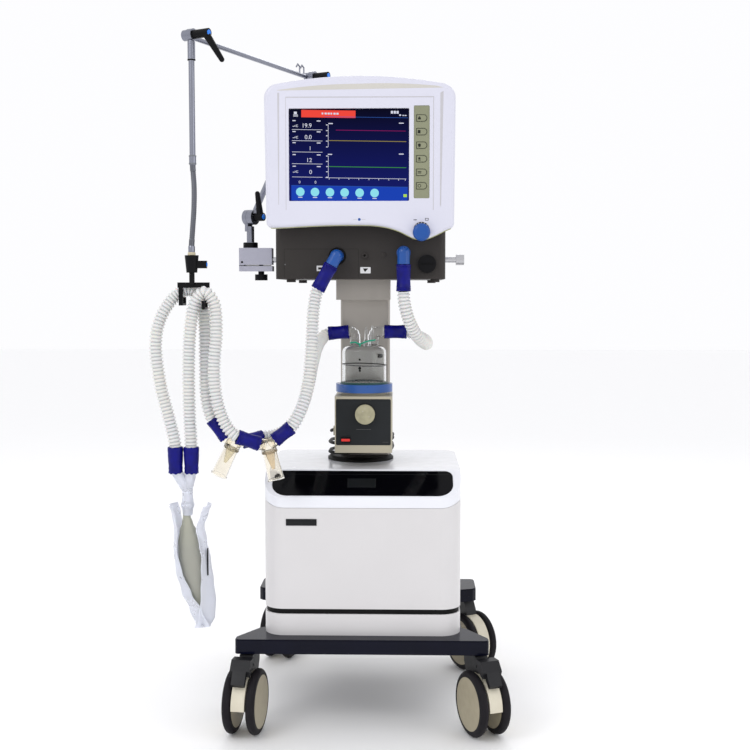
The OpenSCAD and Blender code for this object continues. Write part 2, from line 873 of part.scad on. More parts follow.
module upper_tube() {
    rise = top_rise - middle_rise;
    angle = atan2(rise, middle_reach - top_reach);
    middle = [middle_reach, middle_rise];
    top = [top_reach, top_rise];
    color("#a9abb2")
        in_arm() {
            difference() {
                union() {
                    joint_disc(middle, inner_disc, elbow_r);
                    translate([top_reach, upper_tube_side, top_rise]) rotate([0, 90 + angle, 0])
                        translate([0, 0, 6])
                            cylinder(d = upper_tube_d, h = norm(middle - top) - 12);
                    joint_disc(top, inner_disc, elbow_r - 1);
                }
                joint_disc(middle, inner_disc + [-1, 1], upper_pin_r + run);
                joint_disc(top, inner_disc + [-1, 1], upper_pin_r + run);
            }
            for (x = [middle_reach - 34, middle_reach - 18])
                translate([x, upper_tube_side, middle_rise]) hose_hook();
        }
}

module drop_tube() {
    top = [top_reach, top_rise];
    color("#a4a6ad") {
        in_arm() {
            joint_disc(top, outer_disc, elbow_r);
            joint_disc(top, [pin_end, inner_disc[1] - 0.6], upper_pin_r);
        }
        translate([drop_x, drop_y, 0]) {
            translate([0, 0, 1094]) cylinder(r = 5.5, h = top_joint[2] - 1094);
            translate([0, 0, 1270]) cylinder(r = 7, h = 33.2);
            translate([0, 0, 1080]) cylinder(r = 6.5, h = 16);
        }
    }
}

module gooseneck() {
    route = [
        [drop_x, drop_y, 1080], [drop_x + 2, drop_y + 1, 1040], [drop_x + 1, drop_y + 2, 1000],
        [drop_x - 2, drop_y + 2, 960], [drop_x - 4, drop_y + 1, 930]
    ];
    color("#8f9199") {
        swept_tube(route, 10, [0, 0, -1], [0, 0, -1], [0, 1, 0], 12);
        translate(route[4] - [0, 0, 16]) cylinder(r = 6, h = 17);
    }
}

// Holder, stem, plate and two upturned hooks that carry the hoses
module hose_hanger() {
    x = drop_x - 4;
    y = drop_y + 1;
    plate_front = -247;
    plate_rear = -244.3;
    left_floor = 821;
    right_floor = 814;
    color("#0f0f12") {
        translate([x, y, 882]) cylinder(r1 = 10, r2 = 13, h = 32);
        translate([x + 8, y - 5, 890]) cube([20, 10, 14]);
        translate([x, y, 860]) cylinder(r = 5, h = 23);
        facing(plate_rear, plate_rear - plate_front) {
            translate([-342, 854]) square([60, 10]);
            translate([-340, left_floor]) square([8, 34]);
            translate([-292, right_floor]) square([6, 42]);
        }
        translate([-340, plate_front, left_floor]) cube([8, 34, 4]);
        translate([-340, -216, left_floor]) cube([8, 3, 16]);
        translate([-292, -277, right_floor]) cube([6, 33, 4]);
        translate([-292, -277, right_floor]) cube([6, 3, 16]);
    }
}

// A lever: a hub on the joint's pin, and a handle that leans out from the arm
module clamp_lever(at, pin_r, hub_end, handle) {
    root = [at[0], hub_end + 7.5, at[1]];
    color("#0d0d10")
        in_arm()
            difference() {
                union() {
                    joint_disc(at, [hub_end, -12.6], 8);
                    hull() {
                        translate(root) sphere(r = 7.2, $fn = hull_fn);
                        translate(root + handle) sphere(r = 4.8, $fn = hull_fn);
                    }
                }
                joint_disc(at, [pin_end - 0.5, -11.6], pin_r + run);
            }
}

module lever_lower() {
    clamp_lever([0, 0], lower_pin_r, -32, [-4, 4, 46]);
}

module lever_middle() {
    clamp_lever([middle_reach, middle_rise], upper_pin_r, -45, [12, -4, -34]);
}

module lever_top() {
    clamp_lever([top_reach, top_rise], upper_pin_r, -46, [12, -27, -48]);
}

// ---------- breathing circuit ----------

module port_elbows() {
    r = 12;
    flange_r = 13.5;
    left_bend = left_port + [0, -port_reach, 0];
    right_bend = right_port + [0, -port_reach, 0];
    color("#2458b8") {
        stub_y(left_port[0], left_port[2], case_front - port_reach, case_front + 6, r);
        stub_y(left_port[0], left_port[2], case_front, case_front + 6, flange_r);
        translate(left_bend) sphere(r = r);
        bar(left_bend, port_cuff_start, r, r);
        stub_y(right_port[0], right_port[2], case_front - port_reach, case_front, r);
        stub_y(right_port[0], right_port[2], case_front - 5, case_front, flange_r);
        translate(right_bend) sphere(r = r);
        bar(right_bend, supply_cuff_start, r, r);
    }
}

module cuff(ends) {
    bar(ends[0], ends[1], cuff_r, cuff_r);
}

module circuit_cuffs() {
    color("#06106e") {
        cuff([port_cuff_start, port_cuff_end]);
        cuff([supply_cuff_start, supply_cuff_end]);
        cuff([wet_cuff_start, wet_cuff_end]);
        cuff([dry_cuff_start, dry_cuff_end]);
    }
}

module hose(route, first, last) {
    color("#e8ebee") swept_tube(route, hose_d, first, last);
}

module hose_port() {
    hose(PORT_ROUTE, port_cuff_end - port_cuff_start, cuff_port[1] - cuff_port[0]);
}

module hose_supply() {
    hose(SUPPLY_ROUTE, supply_cuff_end - supply_cuff_start, wet_cuff_start - wet_cuff_end);
}

module hose_humidified() {
    hose(WET_ROUTE, dry_cuff_end - dry_cuff_start, cuff_wet[1] - cuff_wet[0]);
}

module hose_limb_left() {
    hose(LEFT_LIMB_ROUTE, [0, 0, 1], cuff_limb_left[1] - cuff_limb_left[0]);
}

module hose_limb_right() {
    hose(RIGHT_LIMB_ROUTE, [0, 0, 1], cuff_limb_right[1] - cuff_limb_right[0]);
}

// A trap: a tee across the top and a cup that hangs from it
module water_trap(top, low) {
    bar(top, low, 13, 15.5);
    translate(top) sphere(r = 14);
}

module water_traps() {
    gap = 0.3;
    color("#c9d6d8") {
        water_trap(trap_1_top, trap_1_low);
        water_trap(trap_2_top, trap_2_low);
        for (c = [cuff_limb_left, cuff_limb_right, cuff_wet, cuff_port]) {
            along = unit(c[1] - c[0]);
            bar(c[0] + gap * along, c[1], cuff_r, cuff_r);
        }
        bar(cuff_limb_left[1], trap_1_top, 11, 11);
        bar(cuff_wet[1], trap_1_top, 11, 11);
        bar(cuff_limb_right[1], trap_2_top, 11, 11);
        bar(cuff_port[1], trap_2_top, 11, 11);
    }
}

module wye_piece() {
    color("#06106e") {
        for (x = wye_x) {
            translate([x, wye_y, wye_low]) cylinder(r = cuff_r, h = wye_top - wye_low - 0.3);
            bar([x, wye_y, wye_low + 2], [lung_top[0], wye_y, wye_low - 34], 9.5, 9.5);
        }
        bar([lung_top[0], wye_y, wye_low - 30], lung_top, 9.5, 9.5);
    }
}

// The bag with its two cover plates, as one closed body
module test_lung() {
    color("#cfd6cc")
        hull() {
            translate(lung_top + [0, 0, -12]) cylinder(r = 11, h = 12, $fn = hull_fn);
            translate([-326, wye_y, 400]) scale([1, 0.7, 1]) cylinder(r = 30, h = 4, $fn = hull_fn);
            translate([-319, wye_y, 330]) scale([1, 0.75, 1]) cylinder(r = 38, h = 4, $fn = hull_fn);
            translate([-307, wye_y, 250]) scale([1, 0.7, 1]) cylinder(r = 32, h = 4, $fn = hull_fn);
            translate([-300, wye_y, 212]) scale([1, 0.6, 1]) cylinder(r = 18, h = 4, $fn = hull_fn);
        }
}

chassis();
caster_fork(0, true);  // fork_front_left
caster_fork(1, true);  // fork_front_right
caster_fork(2, false);  // fork_rear_left
caster_fork(3, false);  // fork_rear_right
caster_wheels(0);  // wheels_front_left
caster_wheels(1);  // wheels_front_right
caster_wheels(2);  // wheels_rear_left
caster_wheels(3);  // wheels_rear_right
brake_pedal(0);  // pedal_front_left
brake_pedal(1);  // pedal_front_right
cabinet_base();
groove_band();
cabinet_shell();
cabinet_top();
top_panel();
air_compressor();
column_foot();
column();
main_case();
gas_module();
side_rods();
oxygen_cap();
bezel();
display_back();
lcd_panel();
knob();
key(0);  // key_1
key(1);  // key_2
key(2);  // key_3
key(3);  // key_4
key(4);  // key_5
key(5);  // key_6
humidifier_case();
dial();
rocker();
chamber_guard();
water_chamber();
humidifier_lead();
clamp_block();
clamp_screw();
arm_post();
lower_tube();
upper_tube();
drop_tube();
gooseneck();
hose_hanger();
lever_lower();
lever_middle();
lever_top();
port_elbows();
circuit_cuffs();
hose_port();
hose_supply();
hose_humidified();
hose_limb_left();
hose_limb_right();
water_traps();
wye_piece();
test_lung();
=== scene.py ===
"""Looks of a hospital ventilator on its compressor cart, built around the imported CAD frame."""

import math
import bmesh
import bpy
from mathutils import Matrix, Vector
from mathutils.geometry import tessellate_polygon


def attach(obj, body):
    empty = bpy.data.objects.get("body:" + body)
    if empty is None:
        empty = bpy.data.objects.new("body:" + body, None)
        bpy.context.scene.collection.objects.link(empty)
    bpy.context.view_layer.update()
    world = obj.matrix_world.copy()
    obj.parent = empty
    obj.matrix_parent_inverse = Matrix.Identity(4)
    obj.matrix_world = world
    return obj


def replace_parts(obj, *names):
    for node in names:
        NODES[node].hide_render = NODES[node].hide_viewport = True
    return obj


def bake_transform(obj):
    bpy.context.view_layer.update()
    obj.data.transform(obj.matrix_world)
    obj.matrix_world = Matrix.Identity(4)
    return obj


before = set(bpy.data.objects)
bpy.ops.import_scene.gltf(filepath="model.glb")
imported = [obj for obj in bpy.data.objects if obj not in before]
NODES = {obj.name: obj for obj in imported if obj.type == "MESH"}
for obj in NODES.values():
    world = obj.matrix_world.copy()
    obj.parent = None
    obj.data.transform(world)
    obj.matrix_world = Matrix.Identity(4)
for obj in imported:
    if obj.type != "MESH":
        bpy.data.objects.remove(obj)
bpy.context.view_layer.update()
FRONT, UP = (0, -1, 0), (0, 0, 1)
# Body and slot of the pieces that many calls share
HEAD, SCREEN = ("root", "display_white"), ("root", "screen_glass")
CHAMBER, HEATER = ("root", "clear_chamber"), ("root", "heater_grey")
TRAP, LUNG, ARM = ("drop_arm", "trap_clear"), ("drop_arm", "lung_rubber"), ("drop_arm", "arm_steel")


def mm(*values):
    """A point or size given in millimetres, as metres."""
    return Vector([v / 1000 for v in values])


# ---------- camera ----------

camera_data = bpy.data.cameras.new("camera")
camera_data.lens = 55.2
camera_data.sensor_width = 36
camera = bpy.data.objects.new("camera", camera_data)
camera.location = (0.076, -2.385, 0.850)
camera.rotation_euler = (math.radians(90 - 4.23), 0, math.radians(1.34))
bpy.context.scene.collection.objects.link(camera)
bpy.context.scene.camera = camera


# ---------- materials ----------

LOOKS = {}
ROUGH_SPREAD = 0.06


class Tree:
    """A look's node tree, with short calls for the nodes used here."""

    def __init__(self, name):
        LOOKS[name] = material = bpy.data.materials.new(name)
        material.use_nodes = True
        self.nodes = material.node_tree.nodes
        self.links = material.node_tree.links
        self.nodes.clear()
        self.shader = self.nodes.new("ShaderNodeBsdfPrincipled")
        output = self.nodes.new("ShaderNodeOutputMaterial")
        self.links.new(self.shader.outputs[0], output.inputs[0])
        self.place = self.nodes.new("ShaderNodeTexCoord").outputs["Object"]

    def put(self, socket, value):
        if isinstance(value, bpy.types.NodeSocket):
            self.links.new(value, socket)
        elif value is not None:
            socket.default_value = value

    def shade(self, **sockets):
        """Links or sets the shader's sockets; an underscore stands for a space in a name."""
        for socket, value in sockets.items():
            self.put(self.shader.inputs[socket.replace("_", " ")], value)

    def math(self, operation, a, b=0.0):
        node = self.nodes.new("ShaderNodeMath")
        node.operation = operation
        self.put(node.inputs[0], a)
        self.put(node.inputs[1], b)
        return node.outputs[0]

    def vector(self, operation, a, b=None):
        node = self.nodes.new("ShaderNodeVectorMath")
        node.operation = operation
        self.put(node.inputs[0], a)
        self.put(node.inputs[1], b)
        return node.outputs["Value" if operation == "LENGTH" else "Vector"]

    def span(self, value, low, high, to_low=0.0, to_high=1.0):
        node = self.nodes.new("ShaderNodeMapRange")
        for socket, v in zip(node.inputs, (value, low, high, to_low, to_high)):
            self.put(socket, v)
        return node.outputs[0]

    def stretched(self, scale):
        node = self.nodes.new("ShaderNodeMapping")
        self.put(node.inputs["Vector"], self.place)
        node.inputs["Scale"].default_value = scale
        return node.outputs[0]

    def noise(self, scale, detail=4.0, vector=None):
        node = self.nodes.new("ShaderNodeTexNoise")
        self.put(node.inputs["Vector"], vector or self.place)
        node.inputs["Scale"].default_value = scale
        node.inputs["Detail"].default_value = detail
        return node.outputs["Fac"]

    def blend(self, factor, a, b):
        """From colour a to colour b; a colour is a socket or red, green and blue."""
        node = self.nodes.new("ShaderNodeMix")
        node.data_type = "RGBA"
        self.put(node.inputs["Factor"], factor)
        for socket, colour in ((node.inputs[6], a), (node.inputs[7], b)):
            self.put(socket, colour if isinstance(colour, bpy.types.NodeSocket) else rgba(colour))
        return node.outputs[2]

    def bump(self, height, strength, distance):
        node = self.nodes.new("ShaderNodeBump")
        node.inputs["Strength"].default_value = strength
        node.inputs["Distance"].default_value = distance
        self.put(node.inputs["Height"], height)
        return node.outputs[0]

    def height(self, low, high):
        """The share of the way from one height to another, in metres."""
        node = self.nodes.new("ShaderNodeSeparateXYZ")
        self.put(node.inputs[0], self.place)
        return self.span(node.outputs["Z"], low, high)


def rgba(colour, times=1.0):
    return tuple(min(1.0, c * times) for c in colour[:3]) + (1.0,)


def surface(name, colour, rough, metal=0.0, mottle=0.06, mottle_scale=9.0, grain=0.12, grain_scale=1400.0,
            grain_depth=0.0001, stretch=(1, 1, 1), second=None, gloss=None, coat=(None, None), **sockets):
    """A moulded, painted or brushed surface: slow colour drift, uneven gloss and a fine grain."""
    t = Tree(name)
    slow = t.span(t.noise(mottle_scale, 3.0), 0.3, 0.7)
    smear = t.noise(38.0, 6.0, t.stretched(stretch))
    fine = t.noise(grain_scale, 2.0, t.stretched(stretch))
    t.shade(Base_Color=t.blend(slow, rgba(colour, 1 - mottle), second or rgba(colour, 1 + mottle)),
            Roughness=t.span(smear, 0.25, 0.75, max(0.0, rough - ROUGH_SPREAD), rough + ROUGH_SPREAD),
            Metallic=metal, Normal=t.bump(fine, grain, grain_depth), Specular_IOR_Level=gloss,
            Coat_Weight=coat[0], Coat_Roughness=coat[1], **sockets)


def clear(name, colour, rough=0.04, ior=1.3, through=1.0, mottle=0.03):
    """Clear moulded plastic with faint flow marks."""
    t = Tree(name)
    t.shade(Base_Color=t.blend(t.span(t.noise(60.0, 3.0), 0.3, 0.7), rgba(colour, 1 - mottle), colour),
            Roughness=t.span(t.noise(45.0, 4.0), 0.3, 0.7, rough * 0.6, rough * 1.6),
            Transmission_Weight=through, IOR=ior, Normal=t.bump(t.noise(180.0, 3.0), 0.15, 0.0004))


def glow(name, colour, strength):
    """A lit part of the screen, very slightly uneven in brightness."""
    t = Tree(name)
    uneven = t.span(t.noise(2600.0, 1.0), 0.3, 0.7, 0.9, 1.0)
    t.shade(Base_Color=rgba(colour, 0.05), Emission_Color=t.blend(uneven, rgba(colour, 0.8), colour),
            Specular_IOR_Level=0.02, Emission_Strength=strength, Roughness=0.25)


surface("white_shell", (0.66, 0.645, 0.65), 0.34, mottle=0.015, grain=0.10, coat=(0.25, 0.2))
surface("white_gloss", (0.80, 0.81, 0.86), 0.22, mottle=0.015, grain=0.06, coat=(0.4, 0.1))
surface("display_white", (0.64, 0.64, 0.735), 0.38, mottle=0.015, grain=0.12, coat=(0.15, 0.3))
# Painted shade for the bezel's sloped steps and grooves; the second grey also colours the printed dashes by the logo
# dot.
surface("bezel_slope_shade", (0.56, 0.54, 0.50), 0.5, mottle=0.05)
surface("bezel_shade_and_print", (0.50, 0.49, 0.52), 0.45, mottle=0.04)
# Painted shade: the yellow-green of the bezel's shaded underside.
surface("bezel_underside_shade", (0.36, 0.37, 0.17), 0.5, mottle=0.08)
surface("case_mark", (0.10, 0.10, 0.10), 0.5, mottle=0.1)
surface("black_lacquer", (0.002, 0.0025, 0.010), 0.16, mottle=0.2, grain=0.05, gloss=0.08, coat=(0.14, 0.05))
surface("black_glass", (0.001, 0.001, 0.002), 0.08, mottle=0.2, grain=0.02, gloss=0.12)
surface("window_black", (0.008, 0.009, 0.010), 0.2, mottle=0.2, grain=0.05, gloss=0.2)
surface("black_plastic", (0.004, 0.004, 0.005), 0.4, mottle=0.2, grain=0.3, grain_scale=1800, gloss=0.12)
surface("black_rubber", (0.003, 0.003, 0.003), 0.5, mottle=0.25, grain=0.25, gloss=0.15)
surface("groove_black", (0.002, 0.002, 0.002), 0.55, mottle=0.2, gloss=0.15)
surface("case_grey", (0.034, 0.030, 0.028), 0.5, mottle=0.08, grain=0.5, grain_scale=900, grain_depth=0.0002,
        gloss=0.2)
surface("case_seam", (0.010, 0.009, 0.008), 0.6, mottle=0.1, gloss=0.2)
surface("column_metal", (0.37, 0.345, 0.315), 0.36, 0.75, grain=0.3, grain_scale=420, stretch=(1, 1, 0.03),
        grain_depth=0.00015)
surface("heater_beige", (0.42, 0.385, 0.29), 0.4, mottle=0.05, grain=0.3)
surface("face_black", (0.020, 0.022, 0.024), 0.35, mottle=0.12, grain=0.15, gloss=0.1)
surface("dial_beige", (0.35, 0.325, 0.21), 0.4, mottle=0.16, mottle_scale=90)
surface("satin_steel", (0.25, 0.26, 0.31), 0.26, 0.95, 0.08, grain=0.2, grain_scale=500, stretch=(1, 1, 0.05))
surface("goose_steel", (0.13, 0.135, 0.155), 0.3, 0.9, 0.1, grain=0.2)
surface("bright_metal", (0.52, 0.52, 0.54), 0.18, 0.95, 0.05, grain=0.15, grain_scale=600,
        stretch=(0.05, 1, 1))
surface("clamp_metal", (0.42, 0.42, 0.50), 0.34, 0.6, 0.05, grain=0.3)
surface("cast_metal", (0.18, 0.19, 0.20), 0.6, 0.6, 0.12, grain=0.6, grain_scale=500)
surface("strip_grey", (0.235, 0.245, 0.155), 0.5, mottle=0.05, grain=0.25)
surface("ink", (0.012, 0.014, 0.010), 0.5, mottle=0.1, gloss=0.2)
surface("label_white", (0.66, 0.66, 0.67), 0.35, mottle=0.03)
surface("knob_blue", (0.006, 0.070, 0.31), 0.34, mottle=0.1, grain=0.2, coat=(0.15, 0.2), gloss=0.3)
surface("elbow_blue", (0.006, 0.070, 0.31), 0.3, mottle=0.1, mottle_scale=30, grain=0.1, coat=(0.2, 0.15),
        gloss=0.35)
surface("guard_blue", (0.018, 0.085, 0.31), 0.3, mottle=0.1, coat=(0.2, 0.2), gloss=0.35)
surface("tip_blue", (0.02, 0.22, 0.85), 0.3, mottle=0.1)
surface("cuff_navy", (0.0008, 0.0010, 0.150), 0.45, mottle=0.25, mottle_scale=60, grain=0.3, grain_scale=700,
        gloss=0.22)
surface("hose_white", (0.74, 0.745, 0.76), 0.3, mottle=0.04, mottle_scale=18, grain=0.08,
        second=(0.74, 0.73, 0.68), coat=(0.2, 0.2), Subsurface_Weight=0.1, Subsurface_Scale=0.002)
# Painted shade: a darker grey for the hollows of the corrugated hoses.
surface("hose_valley_shade", (0.60, 0.61, 0.61), 0.4, mottle=0.08, mottle_scale=18, grain=0.08)
surface("seal_green", (0.003, 0.06, 0.05), 0.4, mottle=0.15)
surface("clip_green", (0.004, 0.33, 0.20), 0.4, mottle=0.1)
surface("rocker_red", (0.50, 0.010, 0.006), 0.25, mottle=0.1, Emission_Color=(1, 0.02, 0.01, 1),
        Emission_Strength=0.25)
surface("chamber_plate", (0.6, 0.6, 0.6), 0.25, 0.9, 0.05)
surface("pedal_charcoal", (0.008, 0.008, 0.010), 0.45, mottle=0.15, grain=0.3, gloss=0.3)
surface("cream", (0.62, 0.55, 0.38), 0.45)
clear("amber", (0.96, 0.90, 0.72), 0.12, 1.3, 0.75)
clear("amber_brown", (0.93, 0.80, 0.62), 0.12, 1.3, 0.75)
clear("clear_plastic", (0.96, 0.975, 0.98), 0.03, 1.33)
clear("clear_warm", (0.98, 0.95, 0.88), 0.05, 1.25)
clear("clear_cover", (0.90, 0.92, 0.99), 0.35, 1.2, 0.45)
for screen_look, colour, strength in (
        ("white", (0.80, 0.82, 0.95), 0.8), ("red", (0.86, 0.065, 0.045), 0.95), ("band", (0.010, 0.050, 0.42), 1.0),
        ("line", (0.03, 0.10, 0.40), 0.9), ("cyan", (0.30, 0.82, 0.93), 0.85), ("magenta", (0.26, 0.012, 0.12), 0.9),
        ("yellow", (0.30, 0.24, 0.07), 0.9), ("green", (0.05, 0.28, 0.05), 0.9), ("lime", (0.45, 0.75, 0.08), 0.9)):
    glow("screen_" + screen_look, colour, strength)


def lung_rubber():
    """Grey-green rubber, paler towards the folds at both ends."""
    t = Tree("lung_rubber")
    middle = t.blend(t.noise(14.0, 3.0), (0.30, 0.30, 0.26), (0.36, 0.36, 0.315))
    warm = t.blend(t.height(0.36, 0.41), middle, (0.42, 0.42, 0.34))
    wrinkles = t.noise(60.0, 3.0, t.stretched((1, 1, 0.15)))
    t.shade(Base_Color=t.blend(t.height(0.29, 0.24), warm, (0.34, 0.35, 0.27)),
            Roughness=t.span(t.noise(40.0, 4.0), 0.3, 0.7, 0.42, 0.58), Normal=t.bump(wrinkles, 0.25, 0.002))


def axle_radius(t, centre, along):
    """The distance of a surface point from an axle's line."""
    return t.vector("LENGTH", t.vector("CROSS_PRODUCT", t.vector("SUBTRACT", t.place, centre), along))


def wheel_look(name, centre, along):
    """A beige disc with a near-black tyre: the colour follows the distance from the axle's line."""
    t = Tree(name)
    radius = axle_radius(t, centre, along)
    tyre = t.span(radius, 0.0500, 0.0508)
    dust = t.noise(70.0, 4.0)
    ivory = t.blend(dust, (0.33, 0.29, 0.205), (0.42, 0.375, 0.27))
    rubber = t.blend(dust, (0.006, 0.005, 0.008), (0.016, 0.014, 0.016))
    grooves = t.math("SINE", t.math("MULTIPLY", radius, 2600.0))
    t.shade(Base_Color=t.blend(tyre, ivory, rubber), Roughness=t.span(tyre, 0, 1, 0.35, 0.6),
            Specular_IOR_Level=0.15, Normal=t.bump(t.math("MULTIPLY", grooves, tyre), 0.3, 0.0003))


def fork_look(name, centre, along):
    """A charcoal neck over an ivory fender that follows the wheels."""
    t = Tree(name)
    neck = t.span(axle_radius(t, centre, along), 0.0581, 0.0587)
    dust = t.noise(60.0, 4.0)
    ivory = t.blend(dust, (0.60, 0.55, 0.43), (0.72, 0.68, 0.56))
    t.shade(Base_Color=t.blend(neck, ivory, (0.008, 0.008, 0.010)),
            Roughness=t.span(dust, 0.3, 0.7, 0.38, 0.5), Specular_IOR_Level=0.35)


def screen_look():
    """The lit ground of the screen: near-black at the top, navy at the foot."""
    t = Tree("screen_ground")
    t.shade(Base_Color=(0.001, 0.001, 0.004, 1), Emission_Strength=1.0, Roughness=0.25, Specular_IOR_Level=0.02,
            Emission_Color=t.blend(t.height(1.02, 1.188), (0.006, 0.010, 0.135), (0.001, 0.001, 0.008)))


lung_rubber()
screen_look()


# ---------- mesh helpers ----------


def finish_piece(name, bm, look, place, sharp=35):
    """Turns a bmesh into a shown piece; place is the body it rides on, or None, and its slot, which is not used."""
    mesh = bpy.data.meshes.new(name)
    bmesh.ops.recalc_face_normals(bm, faces=bm.faces)
    bm.to_mesh(mesh)
    bm.free()
    mesh.polygons.foreach_set("use_smooth", [True] * len(mesh.polygons))
    mesh.set_sharp_from_angle(angle=math.radians(sharp))
    mesh.materials.append(LOOKS[look])
    piece = bpy.data.objects.new(name, mesh)
    bpy.context.scene.collection.objects.link(piece)
    body, slot = place
    if body:
        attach(piece, body)
    return piece


def skin(bm, rings):
    """Quads between closed rings of as many vertices."""
    for a, b in zip(rings, rings[1:]):
        for k in range(len(a)):
            n = (k + 1) % len(a)
            bm.faces.new((a[k], a[n], b[n], b[k]))


def thicken(bm, shift):
    """Extrudes all the faces by a vector."""
    for v in bmesh.ops.extrude_face_region(bm, geom=bm.faces[:])["geom"]:
        if isinstance(v, bmesh.types.BMVert):
            v.co += shift


def circle(count):
    """The cosine and sine of evenly spaced angles, and the angles."""
    angles = [2 * math.pi * k / count for k in range(count)]
    return [(math.cos(a), math.sin(a), a) for a in angles]


def turned(name, profile, at, direction, look, place, segments=48, sharp=35, ripple=None, closed=True):
    """A piece turned about an axis: its profile as (radius, height), and its foot, in millimetres.
    ripple(ring, angle) shifts a ring's height, in metres."""
    bm = bmesh.new()
    rings = [[bm.verts.new((max(r / 1000, 1e-5) * c, max(r / 1000, 1e-5) * s,
                            z / 1000 + (ripple(i, a) if ripple else 0.0))) for c, s, a in circle(segments)]
             for i, (r, z) in enumerate(profile)]
    skin(bm, rings)
    if closed:
        bm.faces.new(rings[0][::-1])
        bm.faces.new(rings[-1])
    stand = Matrix.Translation(mm(*at)) @ Vector(direction).to_track_quat("Z", "Y").to_matrix().to_4x4()
    bmesh.ops.transform(bm, matrix=stand, verts=[v for ring in rings for v in ring])
    return finish_piece(name, bm, look, place, sharp)


def smooth(points, step, first=None, last=None):
    """A curve through the points, sampled evenly, with set directions at its ends."""
    points = [Vector(p) for p in points]
    start, end = points[1] - points[0], points[-1] - points[-2]
    before = points[0] - (first.normalized() * start.length if first else start)
    after = points[-1] + (last.normalized() * end.length if last else end)
    ctrl = [before] + points + [after]
    fine = []
    for i in range(1, len(ctrl) - 2):
        p0, p1, p2, p3 = ctrl[i - 1:i + 3]
        for k in range(30):
            t = k / 30
            fine.append(0.5 * (2 * p1 + (p2 - p0) * t + (2 * p0 - 5 * p1 + 4 * p2 - p3) * t * t
                               + (3 * p1 - p0 - 3 * p2 + p3) * t ** 3))
    return resample(fine + [points[-1]], step)


def resample(line, step):
    total = [0.0]
    for a, b in zip(line, line[1:]):
        total.append(total[-1] + (b - a).length)
    count = max(2, round(total[-1] / step))
    out, i = [], 0
    for k in range(count + 1):
        s = total[-1] * k / count
        while i < len(line) - 2 and total[i + 1] < s:
            i += 1
        f = (s - total[i]) / max(total[i + 1] - total[i], 1e-9)
        out.append(line[i].lerp(line[i + 1], min(max(f, 0), 1)))
    return out


def ring_frames(path):
    """Two unit vectors across the path at each of its points, turning as little as they can."""
    frames, side = [], None
    for i in range(len(path)):
        along = (path[min(i + 1, len(path) - 1)] - path[max(i - 1, 0)]).normalized()
        side = side or along.orthogonal().normalized()
        side = (side - along * side.dot(along)).normalized()
        frames.append((side, along.cross(side)))
    return frames


def tube(name, path, radii, sides, look, place, sharp=60, frames=None):
    """A round tube along a path; radii is one radius or a list with one for each point."""
    bm = bmesh.new()
    radii = radii if isinstance(radii, list) else [radii] * len(path)
    rings = [[bm.verts.new(p + r * (c * u + s * v)) for c, s, _ in circle(sides)]
             for p, r, (u, v) in zip(path, radii, frames or ring_frames(path))]
    skin(bm, rings)
    bm.faces.new(rings[0][::-1])
    bm.faces.new(rings[-1])
    return finish_piece(name, bm, look, place, sharp)


def block(name, low, high, look, place, bevel, segments=2):
    """A box with rounded edges, between two corners in millimetres."""
    bm = bmesh.new()
    low, size = mm(*low), mm(*high) - mm(*low)
    for v in bmesh.ops.create_cube(bm, size=1.0)["verts"]:
        v.co = Vector([(v.co[i] + 0.5) * size[i] for i in range(3)]) + low
    bmesh.ops.bevel(bm, geom=bm.edges[:], offset=bevel / 1000, segments=segments, profile=0.5, affect="EDGES")
    return finish_piece(name, bm, look, place, 30)


def rounded_outline(cx, cz, w, h, r, steps=8):
    """A rounded rectangle's points, counterclockwise as seen from the front, in millimetres."""
    points = []
    for sx, sz, start in ((1, 1, 0), (-1, 1, 90), (-1, -1, 180), (1, -1, 270)):
        for k in range(steps + 1):
            a = math.radians(start + 90 * k / steps)
            points.append((cx + sx * (w / 2 - r) + r * math.cos(a), cz + sz * (h / 2 - r) + r * math.sin(a)))
    return points


def inlay(name, polygons, y, look, place, thick=0.12):
    """Flat marks on a face that looks towards -Y, as thin prisms; polygons are lists of (x, z)."""
    bm = bmesh.new()
    for polygon in polygons:
        bm.faces.new([bm.verts.new(mm(px, y, pz)) for px, pz in polygon])
    bmesh.ops.remove_doubles(bm, verts=bm.verts[:], dist=1e-6)
    thicken(bm, mm(0, -thick, 0))
    return finish_piece(name, bm, look, place, 30)


def rect(x0, z0, x1, z1):
    return [(x0, z0), (x1, z0), (x1, z1), (x0, z1)]


def disc(cx, cz, r, sides=32):
    return [(cx + r * c, cz + r * s) for c, s, _ in circle(sides)]


def band(outer, inner):
    """The quads between two closed outlines with as many points each."""
    count = len(outer)
    return [[outer[k], outer[(k + 1) % count], inner[(k + 1) % count], inner[k]] for k in range(count)]


def numerals(name, texts, y, look, place):
    """Figures as one mesh. texts holds (figures, x, z, height in mm), each centred on its point."""
    bm = bmesh.new()
    for text, x, z, height in texts:
        curve = bpy.data.curves.new(name + "_curve", "FONT")
        curve.body, curve.align_x, curve.align_y, curve.size = text, "CENTER", "CENTER", height / 1000 * 1.35
        curve.extrude = 0.00006
        source = bpy.data.objects.new(name + "_source", curve)
        mesh = bpy.data.meshes.new_from_object(source)
        mesh.transform(Matrix.Translation(mm(x, y, z)) @ Matrix.Rotation(math.radians(90), 4, "X"))
        bm.from_mesh(mesh)
        bpy.data.meshes.remove(mesh)
        bpy.data.objects.remove(source)
        bpy.data.curves.remove(curve)
    return finish_piece(name, bm, look, place, 30)


# ---------- hoses and leads: routes as in the CAD ----------

